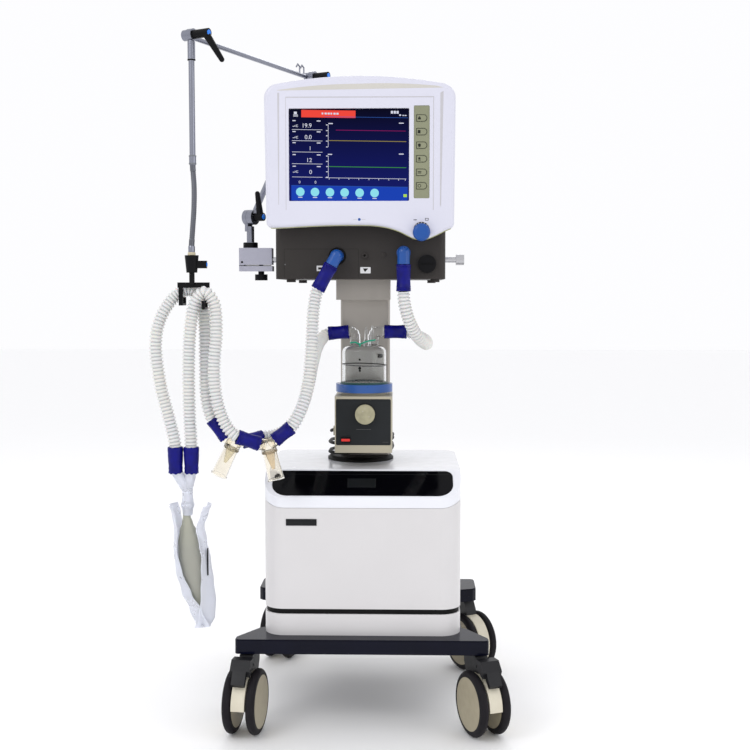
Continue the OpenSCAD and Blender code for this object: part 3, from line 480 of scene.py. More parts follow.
HOSE_D = 0.025
CUFF_R = 14.25
LEFT_PORT = mm(-49, -155, 915)
RIGHT_PORT = mm(79, -155, 921)
PORT_DROP = Vector((-0.49, 0, -0.872))
LEFT_BEND = LEFT_PORT + mm(0, -30, 0)
PORT_CUFF = (LEFT_BEND + 0.020 * PORT_DROP, LEFT_BEND + 0.074 * PORT_DROP)
SUPPLY_CUFF = (RIGHT_PORT + mm(0, -30, -22), RIGHT_PORT + mm(0, -30, -74))
WET_CUFF = (mm(40, -66, 766), mm(86, -66, 766))
DRY_CUFF = (mm(-30.5, -66, 766), mm(-73, -66, 762.5))
TRAP_1 = (mm(-240, -236, 563), mm(-270, -236, 500))
TRAP_2 = (mm(-175, -246, 559), mm(-160, -246, 494))
LIMB_LEFT_CUFF = (mm(-281, -238, 608), mm(-254, -236, 571))
LIMB_RIGHT_CUFF = (mm(-231, -262, 577), mm(-190, -249, 562))
WET_TRAP_CUFF = (mm(-188, -213, 570), mm(-226, -231, 564))
PORT_TRAP_CUFF = (mm(-131, -243, 593), mm(-163, -246, 568))
WYE_X = (-350, -320)
WYE_Y = -245
WYE_TOP = 555
WYE_LOW = 506
LUNG_X, LUNG_Z = -328, 446

PORT_ROUTE = [PORT_CUFF[1], mm(-93, -190, 812), mm(-95, -198, 770), mm(-97, -209, 720),
              mm(-102, -220, 670), mm(-112, -232, 630), PORT_TRAP_CUFF[0]]
SUPPLY_ROUTE = [SUPPLY_CUFF[1], mm(82, -180, 818), mm(92, -168, 786), mm(108, -146, 758),
                mm(124, -112, 744), mm(120, -80, 752), WET_CUFF[1]]
WET_ROUTE = [DRY_CUFF[1], mm(-87, -82, 749), mm(-94, -115, 732), mm(-99, -155, 702),
             mm(-105, -188, 661), mm(-117, -203, 622), mm(-136, -211, 592), mm(-162, -212, 575),
             WET_TRAP_CUFF[0]]
LEFT_LIMB_ROUTE = [mm(WYE_X[0], WYE_Y, WYE_TOP), mm(-362, -245, 612), mm(-377, -245, 675),
                   mm(-385, -243, 745), mm(-377, -238, 795), mm(-352, -231, 836), mm(-322, -229, 850),
                   mm(-301, -228, 830), mm(-295, -229, 785), mm(-294, -231, 715), mm(-292, -235, 650),
                   LIMB_LEFT_CUFF[0]]
RIGHT_LIMB_ROUTE = [mm(WYE_X[1], WYE_Y, WYE_TOP), mm(-322, -248, 620), mm(-322, -252, 700),
                    mm(-318, -256, 770), mm(-308, -259, 824), mm(-289, -260, 845), mm(-271, -260, 822),
                    mm(-268, -260, 770), mm(-273, -260, 705), mm(-269, -261, 650), mm(-254, -262, 604),
                    LIMB_RIGHT_CUFF[0]]

LEAD_D = 0.007
COIL_CENTRE, COIL_HALF = (-8.5, 18), (64.5, 66)
COIL_START, COIL_TOP, COIL_POINTS = 165, 553, 29
TURN = 27  # degrees between two points of the lead's coil
TURN_DROP = 20  # millimetres that the coil drops in a full turn


def lead_route():
    """Straight out of the gland, round the column in rounded squares, and into the outlet box."""
    turns = []
    for i in range(COIL_POINTS):
        a = math.radians(COIL_START - TURN * i)
        r = (math.cos(a) ** 4 + math.sin(a) ** 4) ** -0.25
        turns.append(mm(COIL_CENTRE[0] + COIL_HALF[0] * r * math.cos(a),
                        COIL_CENTRE[1] + COIL_HALF[1] * r * math.sin(a), COIL_TOP - TURN_DROP * i * TURN / 360))
    return [mm(-60.5, -4, 560), mm(-63, 10, 559)] + turns + [mm(-14, 86, 511), mm(5, 91, 511)]


CORRUGATION = 0.0068
RIB_DEPTH = 0.0035
RINGS_PER_WAVE = 6
HOSE_SIDES = 22
# The least length of a crossing hose's first length, and the shares of the rest where its next lengths end
DECLARED_HOSE = 0.152
LENGTH_ENDS = (0.27, 0.50)


def hose_radii(count):
    """Rounded crests and narrow valleys, with plain ends inside the cuffs."""
    radii = []
    for i in range(count):
        wave = 0.5 + 0.5 * math.cos(2 * math.pi * i / RINGS_PER_WAVE)
        plain = i < 3 or i > count - 4
        radii.append(HOSE_D / 2 - 0.0017 if plain else HOSE_D / 2 - RIB_DEPTH * (1 - wave ** 0.7))
    return radii


def hose_length(name, path, radii, frames, body, start=0):
    """A corrugated tube whose hollows get a darker grey as painted shade; start is its first ring on the whole hose.
    """
    piece = tube(name, path, radii, HOSE_SIDES, "hose_white", (body, "hose_clear"), frames=frames)
    piece.data.materials.append(LOOKS["hose_valley_shade"])
    # Rings 2 and 3 of each wave lie in the hollows and take the darker second look: painted shade.
    for polygon in piece.data.polygons:
        if (start + polygon.index // HOSE_SIDES) % RINGS_PER_WAVE in (2, 3):
            polygon.material_index = 1
    return piece


def path_length(path):
    return sum((b - a).length for a, b in zip(path, path[1:]))


def hose_path(route, first, last):
    path = smooth(route, CORRUGATION / RINGS_PER_WAVE, first, last)
    return path, hose_radii(len(path)), ring_frames(path)


def corrugated(name, route, first, last, body, node):
    path, radii, frames = hose_path(route, first, last)
    piece = hose_length(name, path, radii, frames, body)
    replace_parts(piece, node)


def crossing_hose(name, route, first, last, node):
    """A hose that leaves the machine and ends on the hanging circuit: one tube cut into four lengths, none of
    them on a body. The first length is at least DECLARED_HOSE long."""
    path, radii, frames = hose_path(route, first, last)
    head = math.ceil(DECLARED_HOSE / (path_length(path) / (len(path) - 1)))
    rest = len(path) - 1 - head
    cuts = [0, head] + [head + round(share * rest) for share in LENGTH_ENDS] + [len(path) - 1]
    lengths = []
    for i, (a, b) in enumerate(zip(cuts, cuts[1:])):
        part = slice(a, b + 1)
        piece = hose_length(f"{name}_{i + 1}", path[part], radii[part], frames[part], None, a)
        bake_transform(piece)
        lengths.append(piece)
    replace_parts(lengths[0], node)


def along(ends):
    return ends[1] - ends[0]


crossing_hose("port_hose", PORT_ROUTE, along(PORT_CUFF), along(PORT_TRAP_CUFF), "hose_port")
crossing_hose("humidified_hose", WET_ROUTE, along(DRY_CUFF), along(WET_TRAP_CUFF), "hose_humidified")
corrugated("supply_hose", SUPPLY_ROUTE, along(SUPPLY_CUFF), -along(WET_CUFF), "root", "hose_supply")
corrugated("left_limb_hose", LEFT_LIMB_ROUTE, Vector(UP), along(LIMB_LEFT_CUFF), "drop_arm", "hose_limb_left")
corrugated("right_limb_hose", RIGHT_LIMB_ROUTE, Vector(UP), along(LIMB_RIGHT_CUFF), "drop_arm",
           "hose_limb_right")


def humidifier_lead():
    path = smooth(lead_route(), 0.004, Vector((0, 1, 0)), Vector((1, 0, 0)))
    piece = tube("supply_lead", path, LEAD_D / 2, 14, "black_rubber", ("root", "lead_black"))
    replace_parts(piece, "humidifier_lead")


humidifier_lead()


# ---------- looks of the CAD nodes that stay ----------

NODE_LOOKS = {
    "black_lacquer": "chassis", "white_shell": "cabinet_base cabinet_shell", "groove_black": "groove_band",
    "white_gloss": "cabinet_top", "black_glass": "top_panel", "cast_metal": "air_compressor",
    "black_rubber": "column_foot", "column_metal": "column", "case_grey": "main_case",
    "bright_metal": "gas_module side_rods", "display_white": "display_back bezel", "screen_ground": "lcd_panel",
    "heater_beige": "humidifier_case", "guard_blue": "chamber_guard", "clamp_metal": "clamp_block",
    "satin_steel": "arm_post lower_tube upper_tube drop_tube", "elbow_blue": "port_elbows",
    "black_plastic": "rocker hose_hanger lever_lower lever_middle lever_top oxygen_cap clamp_screw",
    "dial_beige": "dial", "knob_blue": "knob", "strip_grey": "key_1 key_2 key_3 key_4 key_5 key_6",
    "pedal_charcoal": "pedal_front_left pedal_front_right",
}
# Stem x and y, and the way that the wheels trail, in degrees
CASTERS = {"front_left": (-218, -195, 262), "front_right": (218, -195, 292), "rear_left": (-213, 197, 75),
           "rear_right": (213, 197, 300)}
TRAIL = 38
WHEEL_R = 62.5


def paint(node, look):
    NODES[node].data.materials.clear()
    NODES[node].data.materials.append(LOOKS[look])


for look, nodes in NODE_LOOKS.items():
    for node in nodes.split():
        paint(node, look)
for place, (x, y, yaw) in CASTERS.items():
    trail = Vector((math.cos(math.radians(yaw)), math.sin(math.radians(yaw)), 0))
    axle = (mm(x, y, WHEEL_R) + TRAIL / 1000 * trail, Vector((-trail.y, trail.x, 0)))
    for node, make in (("wheels_" + place, wheel_look), ("fork_" + place, fork_look)):
        make(node, *axle)
        paint(node, node)


# ---------- cuffs, traps, wye and test lung ----------


def toothed(rings, count, depth):
    """Ripples the given rings of a turned piece, as the notched lip of a rubber cuff; depth in millimetres."""
    return lambda i, a: depth / 1000 * (0.5 + 0.5 * math.tanh(3 * math.sin(count * a))) * rings.get(i, 0)


def rubber_cuff(name, ends, body):
    """A rubber cuff: thick notched lips, a waist, and shallow ribs round both grips."""
    length = along(ends).length * 1000
    half = [(CUFF_R - inset, z) for inset, z in (
        (4, 0.8), (1.2, 0.2), (0.2, 1.2), (0, 3.2), (0.9, 4.4), (0.1, 5.8), (0.9, 7.2), (0.1, 8.6), (0.8, 10.2),
        (1.3, length * 0.42))]
    profile = half + [(r, length - z) for r, z in half[::-1]]
    last = len(profile) - 1
    lips = {0: 0.4, 1: 1.0, 2: 0.7, last: -0.4, last - 1: -1.0, last - 2: -0.7}
    return turned(name, profile, ends[0] * 1000, along(ends), "cuff_navy", (body, "cuff_navy"), 60, 40,
                  toothed(lips, 10, 1.1))


for name, ends in (("expiratory_port", PORT_CUFF), ("supply_port", SUPPLY_CUFF), ("chamber_in", WET_CUFF),
                   ("chamber_out", DRY_CUFF)):
    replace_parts(rubber_cuff("cuff_" + name, ends, "root"), "circuit_cuffs")


def water_trap(name, top, low, cone_look, cone_depth):
    """A clear cup with a domed cap, a thick foot and a coloured valve cone inside."""
    axis = low - top
    length = axis.length * 1000

    def part(suffix, profile, look, segments=48, closed=True):
        return turned(name + suffix, profile, top * 1000, axis, look, TRAP, segments, 40, closed=closed)

    cup = part("_cup", [(13.6, 12), (14.0, 30), (15.2, length - 4), (16.2, length - 3), (16.2, length), (0.3, length),
                        (0.3, length - 2.2), (13.9, length - 2.2), (13.0, length - 6), (12.2, 30), (11.8, 12)],
               "clear_warm")
    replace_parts(cup, "water_traps")
    part("_cap", [(11.5, 14.5), (15.0, 14.5), (15.2, 11.0), (14.4, 9.6), (14.4, 3), (12.6, -6), (8.0, -11.5),
                  (0.3, -13.4), (0.3, -12.0), (7.2, -10.2), (11.2, -5.2), (12.8, 3), (12.8, 10)], "clear_warm")
    part("_valve", [(0.3, 10), (11.0, 10), (11.4, 13), (9.6, 15), (8.4, 20), (3.6, cone_depth - 3),
                    (2.4, cone_depth), (0.3, cone_depth + 0.4)], cone_look, 40)
    for k, (r, z) in enumerate(((9.8, 14.2), (13.4, 12.4))):
        part(f"_ring_{k + 1}", [(r - 0.4, z), (r + 0.5, z + 0.3), (r + 0.5, z + 1.2), (r - 0.4, z + 1.5)], cone_look,
             40, False)


water_trap("trap_left", *TRAP_1, "amber", 42)
water_trap("trap_right", *TRAP_2, "amber_brown", 46)
for name, ends, trap in (("limb_left", LIMB_LEFT_CUFF, TRAP_1), ("wet", WET_TRAP_CUFF, TRAP_1),
                         ("limb_right", LIMB_RIGHT_CUFF, TRAP_2), ("port", PORT_TRAP_CUFF, TRAP_2)):
    rubber_cuff("cuff_trap_" + name, ends, "drop_arm")
    gap = (trap[0] - ends[1]).length * 1000
    neck = [(11.2, -6), (11.2, gap - 9), (12.0, gap - 8), (12.0, gap - 4), (9.4, gap - 4), (9.4, -6)]
    turned("trap_neck_" + name, neck, ends[1] * 1000, trap[0] - ends[1], "clear_warm", TRAP, 40, 40)


def wye():
    """Two cuffs that touch and pull in below, and the clear funnel between them."""
    r, top = 14.6, WYE_TOP - WYE_LOW
    profile = [(r - 4, 0.4), (r - 1.8, 0.3), (r - 1.0, 2), (r - 1.6, 6), (r - 1.1, 9), (r - 1.7, 13),
               (r - 0.8, 22), (r - 0.2, 34), (r - 0.4, 38), (r, 41), (r + 0.2, top - 3), (r - 0.6, top - 0.6),
               (r - 4, top - 1.0)]
    last = len(profile) - 1
    lips = {1: -1.0, 2: -0.6, last: 0.4, last - 1: 1.0}
    for i, x in enumerate(WYE_X):
        cuff = turned(f"wye_cuff_{i + 1}", profile, (x, WYE_Y, WYE_LOW), UP, "cuff_navy", ("drop_arm", "cuff_navy"),
                      60, 40, toothed(lips, 8, 1.6))
        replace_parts(cuff, "wye_piece")
        leg = mm(LUNG_X, WYE_Y, WYE_LOW - 34) - mm(x, WYE_Y, WYE_LOW + 6)
        span = leg.length * 1000
        turned(f"wye_leg_{i + 1}", [(10.6, 0), (10.0, span * 0.5), (8.8, span), (7.4, span), (8.6, span * 0.5),
                                    (9.2, 0)], (x, WYE_Y, WYE_LOW + 6), leg, "clear_cover", TRAP, 40, 50)
    top = WYE_LOW - 28
    drop = top - LUNG_Z
    turned("wye_stem", [(8.0, 0), (10.2, 1.5), (9.8, drop * 0.6), (10.8, drop * 0.7), (10.8, drop + 8),
                        (9.0, drop + 8), (8.2, drop * 0.6), (8.2, 1.5)], (LUNG_X, WYE_Y, top), (0, 0, -1),
           "clear_cover", TRAP, 40, 50)


wye()

# Height, centre x, half width and half depth of the bag at each level, in millimetres
BAG_LEVELS = ((436, -329, 9, 7), (424, -330, 7, 6), (412, -329, 10, 8), (396, -328, 16, 12), (372, -324, 23, 17),
              (346, -320, 26.5, 20), (318, -317, 26, 20), (290, -313, 21.5, 17), (264, -308, 14, 12),
              (244, -305, 6.5, 7), (228, -304, 2.6, 5))
# Height, centre x and half depth of each cover
LEFT_COVER = ((446, -358, 27), (430, -353, 27), (400, -349, 27), (360, -350.5, 26), (320, -347, 25),
              (280, -337, 22), (245, -322, 19), (214, -310, 16))
RIGHT_COVER = ((446, -288, 27), (432, -293, 27), (405, -302, 27), (376, -297, 26), (340, -290, 25),
               (300, -285, 24), (262, -281, 21), (232, -283, 18), (212, -292, 15))


def level_rows(levels, count):
    """The level at count + 1 heights from top to foot, eased from each given level to the next."""
    for i in range(count + 1):
        z = levels[0][0] + (levels[-1][0] - levels[0][0]) * i / count
        for upper, lower in zip(levels, levels[1:]):
            if lower[0] <= z <= upper[0]:
                break
        f = min(max((z - lower[0]) / (upper[0] - lower[0]), 0), 1)
        f = f * f * (3 - 2 * f)
        yield (z, *[l + (u - l) * f for u, l in zip(upper[1:], lower[1:])])


def lung_bag(sides=40):
    """A rubber bag, pleated at both ends."""
    bm, rings = bmesh.new(), []
    for z, cx, hw, hd in level_rows(BAG_LEVELS, 52):
        ring = []
        for c, s, a in circle(sides):
            pleat = 1 + 0.05 * math.cos(7 * a) * max(0.0, 1 - hw / 20)
            edge = abs(c) ** 0.85 * math.copysign(1, c)
            ring.append(bm.verts.new(mm(cx + hw * pleat * edge, WYE_Y + hd * pleat * s, z)))
        rings.append(ring)
    skin(bm, rings)
    bm.faces.new(rings[0])
    bm.faces.new(rings[-1][::-1])
    bag = finish_piece("lung_bag", bm, "lung_rubber", LUNG, 60)
    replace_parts(bag, "test_lung")


def lung_cover(name, levels, out, wall=1.4, rows=44, cols=14):
    """A stiff curved sheet that follows the bag's side, with a lip along both edges."""
    bm, layers = bmesh.new(), []
    for layer in (0, 1):
        grid = []
        for z, cx, hd in level_rows(levels, rows):
            wrap = 6 + 17 * min(1.0, max(0.0, (360 - z) / 110))
            row = []
            for k in range(cols + 1):
                f = 2 * k / cols - 1
                curl = (5 + wrap) * (1 - f * f) - wrap + (1.2 if abs(f) > 0.9 else 0)
                row.append(bm.verts.new(mm(cx + out * (curl - layer * wall), WYE_Y + hd * f, z)))
            grid.append(row)
        layers.append(grid)
        for i in range(rows):
            for k in range(cols):
                bm.faces.new((grid[i][k], grid[i][k + 1], grid[i + 1][k + 1], grid[i + 1][k]))
    front, back = layers
    rim = ([(0, k) for k in range(cols)] + [(i, cols) for i in range(rows)]
           + [(rows, cols - k) for k in range(cols)] + [(rows - i, 0) for i in range(rows)])
    for (i, k), (j, n) in zip(rim, rim[1:] + rim[:1]):
        bm.faces.new((front[i][k], front[j][n], back[j][n], back[i][k]))
    finish_piece(name, bm, "clear_cover", LUNG, 40)


lung_bag()
lung_cover("lung_cover_left", LEFT_COVER, -1)
lung_cover("lung_cover_right", RIGHT_COVER, 1)
block("lung_cover_slot", (-289.5, -263, 314), (-287.5, -257, 366), "groove_black", ("drop_arm", "black_trim"), 0.9)
turned("lung_hinge_pin", [(0.3, 0), (2.2, 0.2), (2.4, 1), (2.4, 35), (2.2, 35.8), (0.3, 36)],
       (-300, WYE_Y - 18, 216), (0, 1, 0), "clear_cover", LUNG, 20)
turned("lung_neck", [(9.4, -6), (12.4, -5), (12.6, 2), (10.4, 4), (9.8, 12), (8.6, 18), (7.2, 18), (7.6, -6)],
       (LUNG_X, WYE_Y, LUNG_Z - 2), (0, 0, -1), "clear_cover", LUNG)


# ---------- display head ----------

FACE = -205
LCD_FRONT = -199.7
LOW_EDGE = [(-140, 967.5), (-95, 970), (-45, 971.5), (0, 971.5), (26, 970.5), (50, 966.5), (70, 960), (88, 951.3),
            (100, 946.2), (112, 944.3), (124, 946.2), (140, 952.5), (157, 961)]
KEY_X, KEY_TOP, KEY_PITCH = 112.5, 1170.5, 25.1
TRAY_Z, TRAY_Y, KEY_GAP = 1107.75, -203.8, 0.35
KNOB_Z, RING_Z = 958, 962
ARCH_X, ARCH_Z, ARCH_R = -4, 370, 880


def corner(before, at, after, radius, steps=8):
    """The arc that rounds one corner of an outline."""
    at = Vector(at)
    a, b = (Vector(before) - at).normalized(), (Vector(after) - at).normalized()
    half = a.angle(b) / 2
    centre = at + (a + b).normalized() * (radius / math.sin(half))
    start, end = at + a * radius / math.tan(half), at + b * radius / math.tan(half)
    return [centre + (start.lerp(end, k / steps) - centre).normalized() * radius for k in range(steps + 1)]


def display_outline():
    """The display's outline: level sides, an arched top and a foot that dips round the knob."""
    def arch(x):
        return (x, ARCH_Z + math.sqrt(ARCH_R ** 2 - (x - ARCH_X) ** 2))
    low = [(p.x * 1000, p.y * 1000) for p in smooth([mm(x, z, 0) for x, z in LOW_EDGE], 0.004)]
    path = corner((-184, 1130), (-180.5, 966), low[0], 12) + [Vector(p) for p in low]
    path += corner(low[-1], (174, 967.5), (176, 1130), 12)
    path += corner((176, 1130), arch(176), arch(150), 27)
    path += [Vector(arch(x)) for x in range(146, -160, -10)]
    return path + corner(arch(-158), arch(-184), (-184, 1130), 27)


def inset_by(path, distance):
    out = []
    for i, p in enumerate(path):
        a = (p - path[i - 1]).normalized()
        b = (path[(i + 1) % len(path)] - p).normalized()
        inward = Vector((-a.y - b.y, a.x + b.x)).normalized()
        out.append(p + inward * distance / max(0.3, inward.dot(Vector((-a.y, a.x)))))
    return out


def key_outline(i, grow, steps=12):
    """A key: square on the left, half round on the right."""
    cz, h = KEY_TOP - KEY_PITCH * i, 6.5 + grow
    left, centre = KEY_X - 10 - grow, KEY_X + 10 - 6.5
    turn = [(centre + h * math.cos(math.radians(a)), cz + h * math.sin(math.radians(a)))
            for a in [-90 + 180 * k / steps for k in range(steps + 1)]]
    return [(left, cz + h), (left, cz - h)] + turn


def fill_face(bm, y, loops):
    """A flat face at y with holes: loops[0] is its edge, the others its holes, each a list of (x, z)."""
    flat = [[Vector((p[0], p[1], 0)) for p in loop] for loop in loops]
    verts = [bm.verts.new(mm(p.x, y, p.y)) for loop in flat for p in loop]
    for tri in tessellate_polygon(flat):
        if len(set(tri)) == 3:
            bm.faces.new([verts[k] for k in tri])


def loft(bm, loops):
    """Quads between outlines of as many points; loops holds (y, points)."""
    skin(bm, [[bm.verts.new(mm(p[0], y, p[1])) for p in points] for y, points in loops])


def bezel():
    """The front frame: rounded edge, flat face, a window for the screen, a tray for the keys."""
    bm = bmesh.new()
    outline = display_outline()
    steps = ((8, -200), (8, -178.2), (0, -178.2), (0, -197), (0.6, -200), (2, -202.6), (4.5, -204.4), (7, FACE),
             (8, FACE))
    loft(bm, [(y, inset_by(outline, inset)) for inset, y in steps])
    holes = []
    for cx, cz, w, h, r, depth in ((-24, 1103, 226, 172, 2, -200), (KEY_X, TRAY_Z, 29.5, 172, 2, -203.7),
                                   (KEY_X, KNOB_Z, 8.6, 8.6, 4.2, -200)):
        edge = rounded_outline(cx, cz, w + 0.8, h + 0.8, r + 0.4)
        holes.append(edge)
        inner = rounded_outline(cx, cz, w, h, r)
        loft(bm, [(FACE, edge), (FACE + 0.4, inner), (depth, inner)])
    fill_face(bm, FACE, [inset_by(outline, 8)] + holes)
    bmesh.ops.remove_doubles(bm, verts=bm.verts[:], dist=2e-6)
    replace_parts(finish_piece("bezel_frame", bm, "display_white", HEAD, 32), "bezel")
    tray, keys = bmesh.new(), [key_outline(i, KEY_GAP) for i in range(6)]
    fill_face(tray, TRAY_Y, [rounded_outline(KEY_X, TRAY_Z, 29.4, 171.9, 2)] + keys)
    for key in keys:
        loft(tray, [(TRAY_Y, key), (-200.5, key)])
    bmesh.ops.remove_doubles(tray, verts=tray.verts[:], dist=2e-6)
    finish_piece("key_tray", tray, "strip_grey", ("root", "key_grey"), 32)
    # A thin yellow-green tube along the bezel's lower edge stands in for the shade on its underside: painted shade.
    low = [mm(p[0], -199, p[1]) for p in inset_by(outline, 0.1)[6:88]]
    tube("bezel_underside_shade_strip", low, 0.001, 8, "bezel_underside_shade", HEAD)


bezel()

ARCH = [(x, 1234 - 11.2 * ((x + 4) / 154) ** 2 + (6.2 * (x + 4) / 160 if x > -4 else 0))
        for x in range(-158, 154, 12)]
TICKS = [(KEY_X + 14.4 * math.cos(math.radians(a)), RING_Z + 14.4 * math.sin(math.radians(a)))
         for a in (45, 68, 90, 112, 135)]
# Painted shade: the crescent, the side strips and the step line stand in for the shade on the bezel's sloped steps and
# grooves; the dashes beside the dot are print.
inlay("bezel_arch_shade", [[(-158, 1222), (153, 1226.5)] + ARCH[::-1]], FACE, "bezel_slope_shade", HEAD, 0.15)
inlay("bezel_side_shade", [[(147, 1010), (149, 1005), (153, 1220), (147, 1217)],
                           [(-157, 1010), (-156, 1010), (-154.5, 1218), (-158, 1218)]], FACE, "bezel_shade_and_print", HEAD)
inlay("bezel_step_shade", [rect(-143, 1208.6, 135.4, 1210.6), rect(133.8, 1000, 135.2, 1208.4),
                          rect(-143, 1000, -142, 1208.4)], FACE, "bezel_shade_and_print", HEAD)
inlay("bezel_dot", [disc(-4.6, 982.4, 2.6, 20)], FACE, "knob_blue", HEAD, 0.2)
inlay("bezel_dashes", [rect(-16, 981.9, -9, 982.9), rect(0, 981.9, 7, 982.9)], FACE, "bezel_shade_and_print", HEAD)
inlay("knob_ring", [disc(KEY_X, RING_Z, 15.6, 48)], FACE, "black_plastic", ("root", "black_plastic"), 0.5)
inlay("knob_ticks", [disc(x, z, 0.9, 10) for x, z in TICKS], FACE - 0.5, "label_white", HEAD)
inlay("knob_signs", [rect(97.5, 980.8, 103.5, 982.2)]
      + band(rounded_outline(122.5, 982.5, 6.4, 4.6, 0.5, 2), rounded_outline(122.5, 982.5, 4.6, 2.8, 0.3, 2)),
      FACE, "case_seam", ("root", "black_plastic"))
dome = turned("knob_dome", [(3.9, -14), (3.9, 0.3), (14.6, 0.6), (15.6, 2.0), (16.5, 4.5), (16.6, 9), (16.2, 12.4),
                            (15.0, 15.0), (12.6, 16.6), (9, 17.2), (0.3, 17.4)],
              (KEY_X, FACE - 1, KNOB_Z), FRONT, "knob_blue", ("knob", "knob_blue"), 64, 40)
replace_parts(dome, "knob")
turned("knob_finger_dimple", [(0.3, 0), (3.2, 0.25), (4.0, 0.1), (4.0, -0.4)], (KEY_X + 6, -223, KNOB_Z + 5),
       FRONT, "knob_blue", ("knob", "knob_blue"), 24, 40)

KEY_ICONS = (
    [rect(-7, -2.6, -1.8, 1.0), rect(-5.6, 1.2, -3.2, 3.0)], [rect(-7.4, -3, -2.4, 3)],
    [disc(-4.4, 0.4, 2.8, 16), rect(-6.6, -3.6, -2.2, -2.6)], [rect(-7, -3.2, -1.8, -2), disc(-4.4, 0.8, 2.2, 16)],
    [rect(-7.4, 0.6, -0.6, 2.0), rect(-7.4, -2.0, -0.6, -0.6)],
    band(disc(-4.2, 0, 3.2, 20), disc(-4.2, 0, 2.2, 20)),
)
for i, icon in enumerate(KEY_ICONS):
    edge = band(key_outline(i, -0.2), key_outline(i, -1.0))
    marks = [[(x + KEY_X, z + KEY_TOP - KEY_PITCH * i) for x, z in shape] for shape in icon]
    inlay(f"key_mark_{i + 1}", edge + marks, -204.4, "ink", (f"key_{i + 1}", "key_grey"), 0.1)


# ---------- the screen's picture: generic marks, no lettering ----------

# The layout grid of the display's front: millimetres in a step, its middle column and top row, the
# position of that point on the display, and how far rows drop from the level column, for each step
GRID = 0.2522
GRID_X, GRID_TOP = 777.5, 22
MIDDLE_X, TOP_Z = -4, 1250
LEVEL_COLUMN, ROW_DROP = 260, 0.0175


def at(across, down):
    """A point of the display's front from its layout grid, whose rows drop a little to the right."""
    return ((across - GRID_X) * GRID + MIDDLE_X,
            TOP_Z - (down + (across - LEVEL_COLUMN) * ROW_DROP - GRID_TOP) * GRID)


def on_screen(name, bars, look, lift=0.1):
    """Bars on the screen, each given by its upper left and lower right corners on the layout grid."""
    shapes = [[at(x0, y1), at(x1, y1), at(x1, y0), at(x0, y0)] for x0, y0, x1, y1 in bars]
    inlay("screen_" + name, shapes, LCD_FRONT - lift, "screen_" + look, SCREEN, 0.1)


on_screen("alarm", [(343, 270, 747, 324)], "red", 0)
on_screen("alarm_marks", [(495 + 22 * k, 288, 495 + 22 * k + (16 if k % 3 else 12), 301) for k in range(6)], "white")
on_screen("foot", [(266, 828, 1136, 940)], "band", 0)
on_screen("foot_edge", [(515, 316, 1136, 319), (268, 826, 1136, 829)], "line")
MARKS = [(1010, 268, 1026, 288), (1031, 268, 1047, 288), (1052, 268, 1068, 288), (1072, 293, 1086, 304),
         (1096, 297, 1108, 304), (1112, 297, 1126, 304), (288, 284, 310, 302), (283, 306, 318, 312),
         (283, 317, 318, 320), (1070, 354, 1105, 361), (1070, 581, 1105, 588), (545, 364, 578, 371),
         (540, 591, 572, 598), (520, 766, 1125, 769)]
MARKS += [(272, row - 1.5, 500, row + 1.5) for row in (415, 497, 580, 667, 765)]
for row in (350, 430, 512, 600, 686):
    MARKS += [(277, row - 3.5, 300, row + 3.5), (458, row - 3.5, 486, row + 3.5)]
for row in (388, 472, 726):
    MARKS += [(278, row + 2, 292, row + 6), (294, row - 6, 298, row + 6), (304, row - 8, 318, row - 5),
              (304, row + 5, 318, row + 8), (304, row - 8, 307, row + 8)]
for top, foot, ticks in ((375, 540, (378, 420, 458, 497, 540)), (605, 765, (607, 647, 685, 723, 763))):
    MARKS += [(542, top, 545, foot)] + [(527, tick - 3, 540, tick + 3) for tick in ticks]
MARKS += [(tick - 2, 770, tick + 2, 780) for tick in (550, 622, 697, 771, 847, 920, 995, 1068, 1118)]
on_screen("marks", MARKS, "white")
numerals("screen_figures", [(text, *at(x, y), h) for text, x, y, h in (
    ("19.9", 383, 386, 8.2), ("0.0", 394, 471, 8.2), ("1", 408, 553, 7.4), ("12", 400, 641, 8.2), ("0", 411, 728, 8.2),
    ("0", 328, 803, 5.2), ("0", 447, 803, 5.2))], LCD_FRONT - 0.2, "screen_white", SCREEN)
on_screen("trace_1", [(600, 413, 1120, 417)], "magenta")
on_screen("trace_2", [(548, 490, 1125, 495)], "yellow")
on_screen("trace_3", [(548, 682, 1125, 687)], "green")
DISCS = (333, 443, 555, 665, 777, 889)
inlay("screen_discs", [disc(*at(x, 875), 32 * GRID, 28) for x in DISCS], LCD_FRONT - 0.1, "screen_cyan", SCREEN, 0.1)
on_screen("disc_marks", [(x - 16, 912, x + 16, 918) for x in DISCS], "white", 0.2)
on_screen("state", [(1104, 880, 1130, 902)], "lime")


# ---------- case front, cabinet and humidifier ----------

CASE_FRONT = -155
inlay("case_seams", [rect(-152, 928.5, -8, 929.1), rect(-152, 874, -151.4, 928.4), rect(-8.6, 874, -8, 928.4)],
      CASE_FRONT, "case_seam", ("root", "case_grey"), 0.1)
inlay("case_labels", [rounded_outline(-80, 891.5, 18, 10.5, 1), rounded_outline(5.4, 888, 20, 12, 1)], CASE_FRONT,
      "label_white", ("root", "white_gloss"), 0.3)
inlay("case_label_marks", [rect(-86, 889.4, -75, 893.6), [(0.4, 891.4), (4.4, 884.6), (11, 891.4)]],
      CASE_FRONT - 0.3, "case_seam", ("root", "black_plastic"), 0.1)
for cap, look, x, z, r in (("disc", "case_grey", 41, 917.5, 5.6), ("screw", "case_mark", -150, 899, 1.5)):
    turned("case_" + cap, [(0.3, -1), (r, -1), (r, 0.5), (r - 0.6, 0.9), (0.3, 0.9)], (x, CASE_FRONT, z), FRONT,
           look, ("root", "case_grey"), 32)
turned("port_ring", [(12.6, -5), (16.9, -5), (16.9, 0.6), (16.2, 1.2), (13.4, 1.2), (12.6, 0.4)],
       (-49, CASE_FRONT, 915), FRONT, "groove_black", ("root", "black_plastic"), 56, closed=False)
